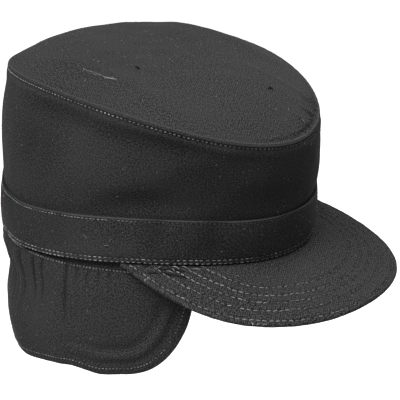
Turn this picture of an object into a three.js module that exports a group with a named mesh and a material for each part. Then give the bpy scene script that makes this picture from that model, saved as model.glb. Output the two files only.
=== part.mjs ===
// A winter combat cap of dark cotton twill, standing open as on a head, with its ear flap folded down.
// The front is -Y, the wearer's left is +X, up is +Z and a unit is a millimetre.
// The origin is the middle of the opening that the head goes into, level with the side of the rim.
// Angles run round the cap in degrees: 0 is the middle of the front, 90 the wearer's left, 180 the back.
import * as THREE from "three";
import { mergeVertices } from "three/addons/utils/BufferGeometryUtils.js";

// Cloth
const CLOTH = 1.6; // one wall of doubled twill
const FLAP_CLOTH = 2.4; // twill and its warm backing
const PEAK_CLOTH = 3; // twill round a stiff board
const GAP = 0.3; // between pieces that are sewn together

// The oval of the rim, at the outside of the band, for a head of 57 to 58 cm
// `egg` is how much narrower an oval's front is than its middle, and `middle` lies along Y.
const RIM = { halfLength: 101.5, halfBreadth: 87.5, egg: 0.04, middle: 0 };
const RIM_TILT = 6; // half of its rise from back to front, before the waves
const RIM_WAVE = -2.8; // three waves round the rim, which the peak's arch gives it

// The band
const BAND_HEIGHT = 26.5;
const BAND_TOP = { halfLength: 104, halfBreadth: 84, egg: 0.04, middle: 0 };
const BAND_BULGE = 1.2;

// The seam between the side and the top, which dips in front and rises at the sides
const SEAM = { halfLength: 101.4, halfBreadth: 77, egg: 0, middle: -2 };
const SEAM_HEIGHT = 87.2;
const SEAM_TILT = -7.7;
const SEAM_SADDLE = -7.4;
const SIDE_BULGE = 1.6;
const SIDE_BULGE_LOWER = 0.8; // below 1 the bulge sits below half height
// Soft dents in the side: `share` runs from the band's top to the seam, `turn` and `reach` are widths
const SIDE_DENTS = [
  { angle: -104, turn: 11, share: 0.5, reach: 0.17, depth: 1.6 },
  { angle: -62, turn: 20, share: 0.16, reach: 0.13, depth: 1.5 },
  { angle: -22, turn: 20, share: 0.3, reach: 0.2, depth: 1.4 },
  { angle: -52, turn: 17, share: 0.82, reach: 0.09, depth: 1.1 },
  { angle: -98, turn: 9, share: 0.84, reach: 0.08, depth: 1 },
  { angle: 48, turn: 16, share: 0.52, reach: 0.16, depth: 1.3 },
  { angle: 96, turn: 22, share: 0.24, reach: 0.15, depth: 1.5 },
  { angle: 152, turn: 18, share: 0.6, reach: 0.18, depth: 1.4 },
];
const DOME = 19; // the top's rise over its seam
const DOME_LEAN = 0.002; // for each millimetre towards the back
const DOME_FULLNESS = 3; // 2 is a plain cap of a ball, and more is flatter with rounder edges

// The peak
const PEAK_END = 67; // the angle at which it ends, on both sides
const PEAK_REACH = 116.3; // from the line of its ends to the front edge
const PEAK_FULLNESS = 11.3; // how far its sides swell
const PEAK_ROUNDNESS = 0.87; // below 1 its front is flatter and its corners rounder
const PEAK_DROP = 35.7; // from the ends to the front edge, less the lift
const PEAK_DROP_SPREAD = 1.1;
const PEAK_LIFT = 20.1;
const PEAK_CURVE = 1.15; // above 1 it bends down more towards its edge
const PEAK_ROOT = 3.7; // how far its root lies inside the rim
const PEAK_EDGE_CLOTH = 2; // its thickness at the bound edge

// The ear flap, sewn inside the rim from temple to temple round the back
const FLAP_START = 42; // the angle of its front edge, on both sides
const FLAP_CORNER = 26; // the angle over which the lobe rounds into the front edge
const FLAP_FRONT_DROP = 12; // the straight part of the front edge
const FLAP_TUCK = 7; // what stands up inside the cap
const FLAP_LOWER_EDGE = [
  { angle: 68, drop: 74 },
  { angle: 77, drop: 75 },
  { angle: 87, drop: 72 },
  { angle: 95, drop: 72.5 },
  { angle: 108, drop: 74 },
  { angle: 122, drop: 76 },
  { angle: 140, drop: 77 },
  { angle: 160, drop: 74 },
  { angle: 180, drop: 72 },
];
// How far inside the rim the flap hangs, at the ears and at the gathered back
const FLAP_PROFILE = [
  { drop: -7, ear: 4.5, back: 4.5 },
  { drop: 0, ear: 4.5, back: 4.2 },
  { drop: 4, ear: 4.5, back: 1.2 },
  { drop: 8, ear: 4.0, back: 0.4 },
  { drop: 14, ear: 2.8, back: 1.8 },
  { drop: 21, ear: 2.2, back: 3.9 },
  { drop: 29, ear: 2.0, back: 4.4 },
  { drop: 38, ear: 2.0, back: 2.9 },
  { drop: 47, ear: 2.2, back: 1.0 },
  { drop: 57, ear: 2.8, back: 0.4 },
  { drop: 66, ear: 4.0, back: 1.2 },
  { drop: 75, ear: 6.0, back: 3.8 },
];
const EAR_END = 80; // the hang changes from the ear's to the back's between these
const BACK_START = 122;
const GATHER_SPACING = 10; // degrees from fold to fold
const GATHER_DEPTH = 0.9;
const GATHER_START = 84; // the folds grow between these
const GATHER_FULL = 112;
const GATHER_DEEPEST = 18; // the drop at which they are deepest
const GATHER_REACH = 30; // and how far above and below they fade

// How finely the solids are cut
const RING_STEP = 6; // degrees
const FLAP_STEP = GATHER_SPACING / 4;

const { clamp, degToRad, lerp, smoothstep } = THREE.MathUtils;
const cosine = (angle) => Math.cos(degToRad(angle));
const sine = (angle) => Math.sin(degToRad(angle));
const fromFront = (angle) => (angle > 180 ? 360 - angle : angle);

// An oval between two others.
function between(low, high, share) {
  const mixed = {};
  for (const key of Object.keys(low)) mixed[key] = lerp(low[key], high[key], share);
  return mixed;
}

// A point of an egg-shaped oval, `inset` inside it.
function oval({ halfLength, halfBreadth, egg, middle }, angle, height, inset = 0) {
  const breadth = (halfBreadth - inset) * (1 - egg * cosine(angle));
  const length = halfLength - inset;
  return new THREE.Vector3(breadth * sine(angle), middle - length * cosine(angle), height);
}

// A short table's column at some place, on a smooth curve through its rows.
function along(table, key, column, place) {
  const last = table.length - 1;
  let row = 0;
  while (row < last - 1 && place > table[row + 1][key]) row += 1;
  const at = (index) => table[clamp(index, 0, last)];
  const width = at(row + 1)[key] - at(row)[key];
  const share = clamp((place - at(row)[key]) / width, 0, 1);
  const slope = (index) => {
    const rise = at(index + 1)[column] - at(index - 1)[column];
    return (rise / (at(index + 1)[key] - at(index - 1)[key])) * width;
  };
  const [square, cube] = [share ** 2, share ** 3];
  return (
    at(row)[column] * (2 * cube - 3 * square + 1) +
    slope(row) * (cube - 2 * square + share) +
    at(row + 1)[column] * (3 * square - 2 * cube) +
    slope(row + 1) * (cube - square)
  );
}

// The heights of the rim and of the top's seam round the cap.
const rimHeight = (angle) => RIM_TILT * cosine(angle) + RIM_WAVE * cosine(3 * angle);
const seamHeight = (angle, reach = 1) =>
  SEAM_HEIGHT + reach * SEAM_TILT * cosine(angle) + reach ** 2 * SEAM_SADDLE * cosine(2 * angle);

// The outside of the band at a height over the rim.
function bandPoint(angle, rise, inset) {
  const share = rise / BAND_HEIGHT;
  const bulge = BAND_BULGE * Math.sin(Math.PI * share);
  return oval(between(RIM, BAND_TOP, share), angle, rimHeight(angle) + rise, inset - bulge);
}

// How deep the dents are at a place on the side.
function sideDent(angle, share) {
  const depths = SIDE_DENTS.map((dent) => {
    const turned = (THREE.MathUtils.euclideanModulo(angle - dent.angle + 180, 360) - 180) / dent.turn;
    const raised = (share - dent.share) / dent.reach;
    return dent.depth * Math.exp(-(turned ** 2) - raised ** 2);
  });
  return depths.reduce((sum, depth) => sum + depth, 0);
}

// The outside of the side above the band, from the band's top (0) to the seam (1).
function sidePoint(angle, share, inset) {
  const under = CLOTH + GAP;
  const foot = rimHeight(angle) + BAND_HEIGHT;
  const head = seamHeight(angle) - under;
  const bulge = SIDE_BULGE * Math.sin(Math.PI * share ** SIDE_BULGE_LOWER) - sideDent(angle, share);
  const tuckedIn = under * (1 - share) ** 2;
  const height = lerp(foot, head, share);
  return oval(between(BAND_TOP, SEAM, share), angle, height, inset + tuckedIn - bulge);
}

// The outside of the domed top, from its middle (0) to its seam (1).
function topPoint(angle, reach, thickness) {
  const edge = oval(SEAM, angle, 0);
  const x = edge.x * reach;
  const y = lerp(SEAM.middle, edge.y, reach);
  const rise = DOME * (1 - reach ** DOME_FULLNESS) * (1 + DOME_LEAN * y);
  return new THREE.Vector3(x, y, seamHeight(angle, reach) + rise - thickness);
}

// The peak from its root under the band (0) to its edge (1), and from end (-1) to end (1).
function peakPoint(side, reach, thickness) {
  const root = oval(RIM, side * PEAK_END, rimHeight(side * PEAK_END) - GAP, PEAK_ROOT);
  const end = oval(RIM, PEAK_END, rimHeight(PEAK_END) - GAP);
  const turn = side * 90;
  const forward = Math.max(cosine(turn), 0);
  const edge = new THREE.Vector3(
    end.x * sine(turn) + PEAK_FULLNESS * sine(2 * turn),
    end.y - PEAK_REACH * forward ** PEAK_ROUNDNESS,
    end.z - PEAK_DROP * forward ** PEAK_DROP_SPREAD + PEAK_LIFT * forward ** 2,
  );
  const point = root.clone().lerp(edge, reach);
  point.z = lerp(root.z, edge.z, reach ** PEAK_CURVE) - thickness;
  return point;
}

// How far below the rim the flap's edge hangs.
function flapDrop(angle) {
  const place = fromFront(angle);
  const corner = clamp((place - FLAP_START) / FLAP_CORNER, 0, 1);
  const lobe = FLAP_LOWER_EDGE[0].drop - FLAP_FRONT_DROP;
  if (corner < 1) return FLAP_FRONT_DROP + lobe * Math.sqrt(1 - (1 - corner) ** 2);
  return along(FLAP_LOWER_EDGE, "angle", "drop", place);
}

// The flap's outside, some way below the rim.
function flapPoint(angle, drop, inset) {
  const place = fromFront(angle);
  const backness = smoothstep(place, EAR_END, BACK_START);
  const hang = lerp(
    along(FLAP_PROFILE, "drop", "ear", drop),
    along(FLAP_PROFILE, "drop", "back", drop),
    backness,
  );
  const fade = Math.max(1 - ((drop - GATHER_DEEPEST) / GATHER_REACH) ** 2, 0);
  const strength = drop > 0 ? fade * smoothstep(place, GATHER_START, GATHER_FULL) : 0;
  const fold = GATHER_DEPTH * strength * cosine((360 * (place - 180)) / GATHER_SPACING);
  return oval(RIM, angle, rimHeight(angle) - drop, inset + hang + fold);
}

// A solid swept through wall sections, each a loop of points: down one face and back up the other.
// It runs on into itself when closed, and otherwise its two ends are capped.
function sweep(sections, closed) {
  const size = sections[0].length;
  const positions = sections.flat().flatMap((point) => point.toArray());
  const index = [];
  const face = (a, b, c, d) => index.push(a, b, c, a, c, d);
  const joints = closed ? sections.length : sections.length - 1;
  for (let i = 0; i < joints; i += 1) {
    const [here, next] = [i * size, ((i + 1) % sections.length) * size];
    for (let k = 0; k < size; k += 1) {
      const after = (k + 1) % size;
      face(here + k, next + k, next + after, here + after);
    }
  }
  if (!closed) {
    const end = (sections.length - 1) * size;
    for (let k = 0; k < size / 2 - 1; k += 1) {
      const across = size - 1 - k;
      face(k, k + 1, across - 1, across);
      face(end + k, end + across, end + across - 1, end + k + 1);
    }
  }
  return facingOut(positions, index);
}

// The closed mesh of these points and faces, without the faces that shrink to nothing at a pole.
function facingOut(positions, index) {
  const loose = new THREE.BufferGeometry();
  loose.setAttribute("position", new THREE.Float32BufferAttribute(positions, 3));
  loose.setIndex(index);
  const merged = mergeVertices(loose, 1e-3);
  const corners = merged.index.array;
  const faces = [];
  for (let i = 0; i < corners.length; i += 3) {
    const face = [corners[i], corners[i + 1], corners[i + 2]];
    if (new Set(face).size === 3) faces.push(face);
  }
  const at = (corner) => new THREE.Vector3().fromBufferAttribute(merged.attributes.position, corner);
  const volume = faces.reduce(
    (sum, [a, b, c]) => sum + at(a).dot(at(b).cross(at(c))),
    0,
  );
  merged.setIndex(faces.map((face) => (volume < 0 ? face.reverse() : face)).flat());
  merged.computeVertexNormals();
  return merged;
}

// Whole steps from one number to another.
function steps(from, to, step) {
  const count = Math.max(Math.round((to - from) / step), 1);
  return Array.from({ length: count + 1 }, (_, i) => lerp(from, to, i / count));
}

// The wall section between an outside and an inside of the same rows.
const wall = (outside, inside) => [...outside, ...inside.reverse()];

const ringAngles = steps(0, 360, RING_STEP).slice(0, -1);
const bandRises = [0, 4.5, 13, 22, BAND_HEIGHT];

function crownTop() {
  const reaches = [0, 0.25, 0.48, 0.68, 0.84, 0.94, 1];
  const section = (angle) =>
    wall(
      reaches.map((reach) => topPoint(angle, reach, 0)),
      reaches.map((reach) => topPoint(angle, reach, CLOTH)),
    );
  return sweep(ringAngles.map(section), true);
}

function crownSide() {
  const under = CLOTH + GAP;
  const shares = [0.08, 0.2, 0.35, 0.5, 0.66, 0.82, 1];
  const face = (angle, inset) => [
    ...bandRises.map((rise) => bandPoint(angle, rise, under + inset)),
    ...shares.map((share) => sidePoint(angle, share, inset)),
  ];
  return sweep(ringAngles.map((angle) => wall(face(angle, 0), face(angle, CLOTH))), true);
}

function band() {
  const face = (angle, inset) => bandRises.map((rise) => bandPoint(angle, rise, inset));
  return sweep(ringAngles.map((angle) => wall(face(angle, 0), face(angle, CLOTH))), true);
}

function peak() {
  const reaches = [0, 0.12, 0.35, 0.6, 0.82, 0.95, 1];
  const section = (side) =>
    wall(
      reaches.map((reach) => peakPoint(side, reach, 0)),
      reaches.map((reach) => peakPoint(side, reach, reach < 1 ? PEAK_CLOTH : PEAK_EDGE_CLOTH)),
    );
  return sweep(steps(-1, 1, 1 / 22).map(section), false);
}

function earFlap() {
  const shares = [0, 0.05, 0.1, 0.18, 0.28, 0.38, 0.5, 0.62, 0.76, 0.88, 1];
  const corner = [0, 0.012, 0.05, 0.12, 0.22, 0.35, 0.5, 0.66, 0.83];
  const front = corner.map((share) => FLAP_START + share * FLAP_CORNER);
  const lobe = steps(FLAP_START + FLAP_CORNER, GATHER_START, 4).slice(0, -1);
  const back = steps(GATHER_START, 360 - GATHER_START, FLAP_STEP);
  const mirrored = [...front, ...lobe].reverse().map((angle) => 360 - angle);
  const face = (angle, inset) => [
    flapPoint(angle, -FLAP_TUCK, inset),
    ...shares.map((share) => flapPoint(angle, share * flapDrop(angle), inset)),
  ];
  const section = (angle) => wall(face(angle, 0), face(angle, FLAP_CLOTH));
  return sweep([...front, ...lobe, ...back, ...mirrored].map(section), false);
}

const twill = (color) => new THREE.MeshStandardMaterial({ color, roughness: 0.92, metalness: 0 });
const pieces = [
  { name: "crown_top", geometry: crownTop(), material: twill(0x3d3d3e) },
  { name: "crown_side", geometry: crownSide(), material: twill(0x323233) },
  { name: "band", geometry: band(), material: twill(0x343435) },
  { name: "peak", geometry: peak(), material: twill(0x3b3b3c) },
  { name: "ear_flap", geometry: earFlap(), material: twill(0x343435) },
];

const cap = new THREE.Group();
for (const { name, geometry, material } of pieces) {
  const piece = new THREE.Mesh(geometry, material);
  piece.name = name;
  cap.add(piece);
}

export default cap;
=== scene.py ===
"""A winter combat cap of dark cotton twill, with its peak, its wide band and its ear flap folded down.

The front is -Y, the wearer's left is +X and up is +Z. The forms below are worked out in millimetres,
round angles that run from the front (0) by the wearer's left (90) to the back (180), and are turned
into metres when a mesh is made.
"""

import logging
from dataclasses import dataclass
from enum import Enum
from typing import ClassVar

import bpy
import numpy as np
from mathutils import Matrix, Vector


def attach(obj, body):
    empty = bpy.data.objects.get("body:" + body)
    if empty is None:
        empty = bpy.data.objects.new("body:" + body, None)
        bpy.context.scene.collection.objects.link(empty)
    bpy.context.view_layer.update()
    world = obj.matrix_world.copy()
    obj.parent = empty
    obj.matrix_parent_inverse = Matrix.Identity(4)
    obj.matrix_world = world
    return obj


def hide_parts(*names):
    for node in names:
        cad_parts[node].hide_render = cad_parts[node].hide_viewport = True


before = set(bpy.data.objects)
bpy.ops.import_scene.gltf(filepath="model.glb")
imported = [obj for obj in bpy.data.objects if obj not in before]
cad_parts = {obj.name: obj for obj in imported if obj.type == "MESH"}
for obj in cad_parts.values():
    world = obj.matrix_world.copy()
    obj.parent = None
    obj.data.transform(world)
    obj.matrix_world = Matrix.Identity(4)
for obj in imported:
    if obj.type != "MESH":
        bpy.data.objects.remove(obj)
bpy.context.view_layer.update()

Array = np.ndarray
MM = 0.001
EDGE_TURNS = 3  # vertices round the half circle at a cloth's edge
LOG = logging.getLogger("cap")


class Slot(Enum):
    """The record's material slots."""

    TOP = "top_twill"
    SIDE = "side_twill"
    BAND = "band_twill"
    PEAK = "peak_twill"
    FLAP = "flap_twill"


# Numbers and curves


def bell(distance: Array, width: float) -> Array:
    """A smooth hump of height 1: e to the minus square of distance over width."""
    return np.exp(-((distance / width) ** 2))


def rise(value: Array, start: float, end: float) -> Array:
    """A smooth step from 0 at start to 1 at end: 3t squared less 2t cubed."""
    share = np.clip((value - start) / (end - start), 0.0, 1.0)
    return share * share * (3.0 - 2.0 * share)


def turned(angle: Array, degrees: float) -> Array:
    """How far an angle in radians lies from one in degrees, the short way round, in degrees."""
    return (np.degrees(angle) - degrees + 180.0) % 360.0 - 180.0


def unit(vectors: Array) -> Array:
    """Vectors brought to length 1."""
    return vectors / np.maximum(np.linalg.norm(vectors, axis=-1, keepdims=True), 1e-12)


def steps(*runs: tuple[float, float, int]) -> Array:
    """Evenly spaced values in runs, one after another: each run's first and last value and its count."""
    return np.concatenate([np.linspace(*run) for run in runs])


def paired(u: Array, v: Array) -> list[Array]:
    """Two parameters as decimals, spread over the same grid."""
    return np.broadcast_arrays(np.asarray(u, float), np.asarray(v, float))


def swell(points: Array, size: float, seed: int, waves: int = 16) -> Array:
    """Soft hills and hollows over a surface, the sum of seeded plane waves through space.

    Args:
        points: places in millimetres.
        size: the hills' usual width in millimetres.
        seed: which hills.
        waves: how many waves are added.

    Returns:
        A height for each place, usually between -1 and 1.
    """
    rng = np.random.default_rng(seed)
    headings = unit(rng.normal(size=(waves, 3)))
    paces = 2.0 * np.pi / size * rng.uniform(0.5, 1.3, waves)
    phases = rng.uniform(0.0, 2.0 * np.pi, waves)
    return np.cos(points @ (headings * paces[:, None]).T + phases).sum(-1) / np.sqrt(waves)


def puckers(along: Array, size: float, seed: int, waves: int = 14) -> Array:
    """Small folds along a line, the sum of seeded waves.

    Args:
        along: lengths along the line in millimetres.
        size: the folds' usual spacing in millimetres.
        seed: which folds.
        waves: how many waves are added.

    Returns:
        A height for each length, usually between -1 and 1.
    """
    rng = np.random.default_rng(seed)
    paces = 2.0 * np.pi / size * rng.uniform(0.55, 1.6, waves)
    phases = rng.uniform(0.0, 2.0 * np.pi, waves)
    return np.cos(np.asarray(along)[..., None] * paces + phases).sum(-1) / np.sqrt(waves)


def away_from(points: Array, line: Array, block: int = 6000) -> Array:
    """How far places lie from a line through many points, to its nearest point.

    Args:
        points: places, of any grid shape.
        line: the line's points.
        block: how many places are measured at once.

    Returns:
        A distance for each place.
    """
    flat = points.reshape(-1, points.shape[-1])
    parts = np.array_split(flat, max(len(flat) // block, 1))
    nearest = [np.sqrt(((part[:, None] - line[None]) ** 2).sum(-1).min(1)) for part in parts]
    return np.concatenate(nearest).reshape(points.shape[:-1])


@dataclass(frozen=True)
class Table:
    """A short table with named columns, read along a smooth curve through its rows."""

    columns: tuple[str, ...]
    rows: tuple[tuple[float, ...], ...]

    def column(self, name: str) -> Array:
        """One column's values."""
        return np.array([row[self.columns.index(name)] for row in self.rows])

    def read(self, key: str, name: str, places: Array) -> Array:
        """Reads a column along a cubic through its rows, with each slope from the rows on both sides.

        Args:
            key: the column that the places lie on.
            name: the column to read.
            places: where to read it.

        Returns:
            A value for each place, held level past the table's ends.
        """
        knots, values = self.column(key), self.column(name)
        last = len(knots) - 1
        at = np.clip(np.searchsorted(knots, places, side="right") - 1, 0, last - 1)
        width = knots[at + 1] - knots[at]
        share = np.clip((places - knots[at]) / width, 0.0, 1.0)
        before, after = np.maximum(at - 1, 0), np.minimum(at + 2, last)
        leaving = (values[at + 1] - values[before]) / (knots[at + 1] - knots[before]) * width
        arriving = (values[after] - values[at]) / (knots[after] - knots[at]) * width
        square, cube = share**2, share**3
        return (
            values[at] * (2.0 * cube - 3.0 * square + 1.0)
            + leaving * (cube - 2.0 * square + share)
            + values[at + 1] * (3.0 * square - 2.0 * cube)
            + arriving * (cube - square)
        )


@dataclass(frozen=True)
class Folds:
    """Straight soft folds on a cloth that lies flat: where each starts and ends, its width and its height."""

    rows: tuple[tuple[float, ...], ...]
    fade: float = 9.0  # half the length over which an end dies away

    def raised(self, x: Array, y: Array) -> Array:
        """The folds' height: for each a bell across its line, fading in and out at its ends.

        Args:
            x: places along the cloth in millimetres.
            y: places up the cloth in millimetres.

        Returns:
            Heights in millimetres.
        """
        height, fade = 0.0, self.fade
        for x0, y0, x1, y1, width, high in self.rows:
            length = np.hypot(x1 - x0, y1 - y0)
            along = ((x - x0) * (x1 - x0) + (y - y0) * (y1 - y0)) / length
            across = ((x - x0) * (y1 - y0) - (y - y0) * (x1 - x0)) / length
            held = rise(along, -fade, fade) * (1.0 - rise(along, length - fade, length + fade))
            height = height + high * bell(across, width) * held
        return height


@dataclass(frozen=True)
class Spots:
    """Soft spots: the angle and width of each in degrees, its place and width along v, and its height."""

    rows: tuple[tuple[float, ...], ...]

    def raised(self, angle: Array, along: Array) -> Array:
        """The spots' height, which is the sum of a bell across the angle times a bell along v for each.

        Args:
            angle: angles from the front, in radians.
            along: places along v, in the unit of the rows.

        Returns:
            A height for each place.
        """
        return sum(
            high * bell(turned(angle, at), turn) * bell(along - place, reach)
            for at, turn, place, reach, high in self.rows
        )


@dataclass(frozen=True)
class Oval:
    """An egg-shaped oval seen from above: its half sizes and its middle along Y, in millimetres."""

    length: float
    breadth: float
    egg: float = 0.0
    middle: float = 0.0

    def towards(self, other: "Oval", share: Array) -> "Oval":
        """The oval a share of the way to another."""
        mixed = [a + (b - a) * share for a, b in zip(vars(self).values(), vars(other).values())]
        return Oval(*mixed)

    def at(self, angle: Array, height: Array, inset: Array = 0.0) -> Array:
        """Places on the oval: breadth times sine, narrowed towards the front, and length times cosine.

        Args:
            angle: angles from the front, in radians.
            height: heights of the places.
            inset: how far inside the oval they lie.

        Returns:
            The places, in millimetres.
        """
        breadth = (self.breadth - inset) * (1.0 - self.egg * np.cos(angle))
        x = breadth * np.sin(angle)
        y = self.middle - (self.length - inset) * np.cos(angle)
        return np.stack(np.broadcast_arrays(x, y, height), axis=-1)


@dataclass(frozen=True)
class CapForm:
    """The sizes that all the panels share, the same as the solids', in millimetres and degrees."""

    rim: Oval = Oval(101.5, 87.5, 0.04, 0.0)
    band_top: Oval = Oval(104.0, 84.0, 0.04, 0.0)
    seam: Oval = Oval(101.4, 77.0, 0.0, -2.0)
    cloth: float = 1.6
    gap: float = 0.3
    rim_tilt: float = 6.0
    rim_wave: float = -2.8
    band_height: float = 26.5
    seam_height: float = 87.2
    seam_tilt: float = -7.7
    seam_saddle: float = -7.4
    girth: float = 94.6  # millimetres along the rim to a radian

    def rim_level(self, angle: Array) -> Array:
        """The rim's height: a tilt of one wave round the cap and three small waves."""
        return self.rim_tilt * np.cos(angle) + self.rim_wave * np.cos(3.0 * angle)

    def seam_level(self, angle: Array, reach: Array = 1.0) -> Array:
        """The top seam's height: a tilt of one wave and a saddle of two, both flatter inside it."""
        tilt = self.seam_tilt * reach * np.cos(angle)
        return self.seam_height + tilt + self.seam_saddle * reach**2 * np.cos(2.0 * angle)

    def side_height(self, angle: Array) -> Array:
        """How high the side stands above the band."""
        return self.seam_level(angle) - self.rim_level(angle) - self.band_height

    def length_round(self, angle: Array) -> Array:
        """How far round the cap a column of angles has come, in millimetres along the rim."""
        return np.unwrap(np.atleast_1d(angle), axis=0) * self.girth


# Meshes


def grid_faces(columns: int, rows: int, closed: bool, looped: bool) -> Array:
    """The quads of a grid of vertices, numbered down each column in turn.

    Args:
        columns: how many columns of vertices there are.
        rows: how many vertices a column has.
        closed: whether the last column joins the first.
        looped: whether each column's last vertex joins its first.

    Returns:
        Four vertex numbers for each quad.
    """
    across = np.arange(columns if closed else columns - 1)[:, None]
    down = np.arange(rows if looped else rows - 1)[None, :]
    here, there = across * rows, (across + 1) % columns * rows
    after = (down + 1) % rows
    return np.stack([here + down, there + down, there + after, here + after], -1).reshape(-1, 4)


def sewn_shell(outside: Array, inside: Array) -> Array:
    """Joins a panel's two faces by half-round edges at its first and last rows.

    At an edge the cloth is a half circle: cosine times half its thickness, and sine times the same
    length on past the edge.

    Args:
        outside: the outer face, as columns by rows of places.
        inside: the inner face, with the same columns and its own rows.

    Returns:
        One grid whose columns are loops: down the outside, round the edge and back up the inside.
    """
    bend = np.linspace(0.0, np.pi, EDGE_TURNS + 2)[1:-1][:, None]

    def edge(outer: Array, inner: Array, before: Array) -> Array:
        """The half circles at one edge, onward from the row before it."""
        middle, half = (outer + inner) / 2.0, (outer - inner) / 2.0
        onward = unit(outer - before) * np.linalg.norm(half, axis=-1, keepdims=True)
        return middle[:, None] + half[:, None] * np.cos(bend) + onward[:, None] * np.sin(bend)

    far = edge(outside[:, -1], inside[:, -1], outside[:, -2])
    near = edge(outside[:, 0], inside[:, 0], outside[:, 1])[:, ::-1]
    return np.concatenate([outside, far, inside[:, ::-1], near], axis=1)


def mesh_object(name: str, points: Array, faces: list[list[int]]) -> bpy.types.Object:
    """Makes a smooth mesh object from places in millimetres.

    Args:
        name: the piece's name.
        points: the vertices.
        faces: vertex numbers of each face.

    Returns:
        The object, at the origin, with its place in its mesh.
    """
    mesh = bpy.data.meshes.new(name)
    mesh.from_pydata((points * MM).tolist(), [], faces)
    mesh.polygons.foreach_set("use_smooth", np.ones(len(mesh.polygons), dtype=bool))
    mesh.update()
    piece = bpy.data.objects.new(name, mesh)
    bpy.context.scene.collection.objects.link(piece)
    return piece


def facing_out(points: Array, faces: Array) -> Array:
    """Turns a closed mesh's faces out: its volume, the sum of a . (b x c) over them, is then above 0.

    Args:
        points: the vertices.
        faces: vertex numbers of each face.

    Returns:
        The same faces, or all of them turned round.
    """
    a, b, c = (points[faces[:, k]] for k in (0, 1, 2))
    d = points[faces[:, -1]]
    volume = (a * (np.cross(b, c) + np.cross(c, d))).sum()
    return faces if volume > 0 else faces[:, ::-1]


def paint(piece: bpy.types.Object, cloth: Array, wear_and_shade: Array) -> None:
    """Gives a piece its cloth's own places, in millimetres, as a UV map, and its wear and painted light and
    shade as an attribute.

    Args:
        piece: the piece.
        cloth: a place on the flat cloth for each vertex.
        wear_and_shade: for each vertex, from 1 where the cloth is rubbed pale or painted lighter, to -1 where
            painted shade darkens it most.
    """
    mesh = piece.data
    corners = np.empty(len(mesh.loops), dtype=np.int32)
    mesh.loops.foreach_get("vertex_index", corners)
    mesh.uv_layers.new(name="cloth").data.foreach_set("uv", cloth[corners].astype(np.float32).ravel())
    layer = mesh.attributes.new("wear_and_shade", "FLOAT", "POINT")
    layer.data.foreach_set("value", np.clip(wear_and_shade, -1.0, 1.0).astype(np.float32))


def sew_on(piece: bpy.types.Object, material: bpy.types.Material) -> bpy.types.Object:
    """Gives a piece its material and slot, and lets it ride on the cap.

    Args:
        piece: the piece.
        material: its material.

    Returns:
        The piece.
    """
    piece.data.materials.append(material)
    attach(piece, "root")
    LOG.info("%s: %d faces", piece.name, len(piece.data.polygons))
    return piece


# Finishes


def linear(sheet: str, share: float = 1.0) -> tuple[float, float, float, float]:
    """Turns an sRGB hex value into a linear colour, by the sRGB curve.

    Args:
        sheet: the value, with its leading sign.
        share: how much of its light is kept.

    Returns:
        Red, green, blue and an opacity of 1.
    """
    parts = np.array([int(sheet[k : k + 2], 16) / 255.0 for k in (1, 3, 5)])
    light = np.where(parts <= 0.04045, parts / 12.92, ((parts + 0.055) / 1.055) ** 2.4)
    return (*(light * share).tolist(), 1.0)


def add_node(
    tree: bpy.types.NodeTree, kind: str, inputs: dict, stops: dict | None = None, **settings: object
) -> bpy.types.Node:
    """Adds a node with its settings, and sets or links its inputs.

    Args:
        tree: the material's or world's node tree.
        kind: the node's type name.
        inputs: a value, or a socket to link, for each input by name or number.
        stops: a colour for each place on the node's ramp, where it has one.
        **settings: the node's own properties.

    Returns:
        The node.
    """
    node = tree.nodes.new(kind)
    for name, value in settings.items():
        setattr(node, name, value)
    for number, (place, colour) in enumerate(sorted((stops or {}).items())):
        marks = node.color_ramp.elements
        mark = marks[number] if number < len(marks) else marks.new(place)
        mark.position, mark.color = place, colour
    for key, value in inputs.items():
        if isinstance(value, bpy.types.NodeSocket):
            tree.links.new(value, node.inputs[key])
        else:
            node.inputs[key].default_value = value
    return node


def plain_material(
    name: str, constants: dict
) -> tuple[bpy.types.Material, bpy.types.NodeTree, bpy.types.Node]:
    """Makes a material with one principled shader.

    Args:
        name: the material's name.
        constants: the values of the shader's unlinked inputs.

    Returns:
        The material, its node tree and its shader.
    """
    made = bpy.data.materials.new(name)
    made.use_nodes = True
    shader = made.node_tree.nodes["Principled BSDF"]
    for key, value in constants.items():
        shader.inputs[key].default_value = value
    return made, made.node_tree, shader


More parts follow.
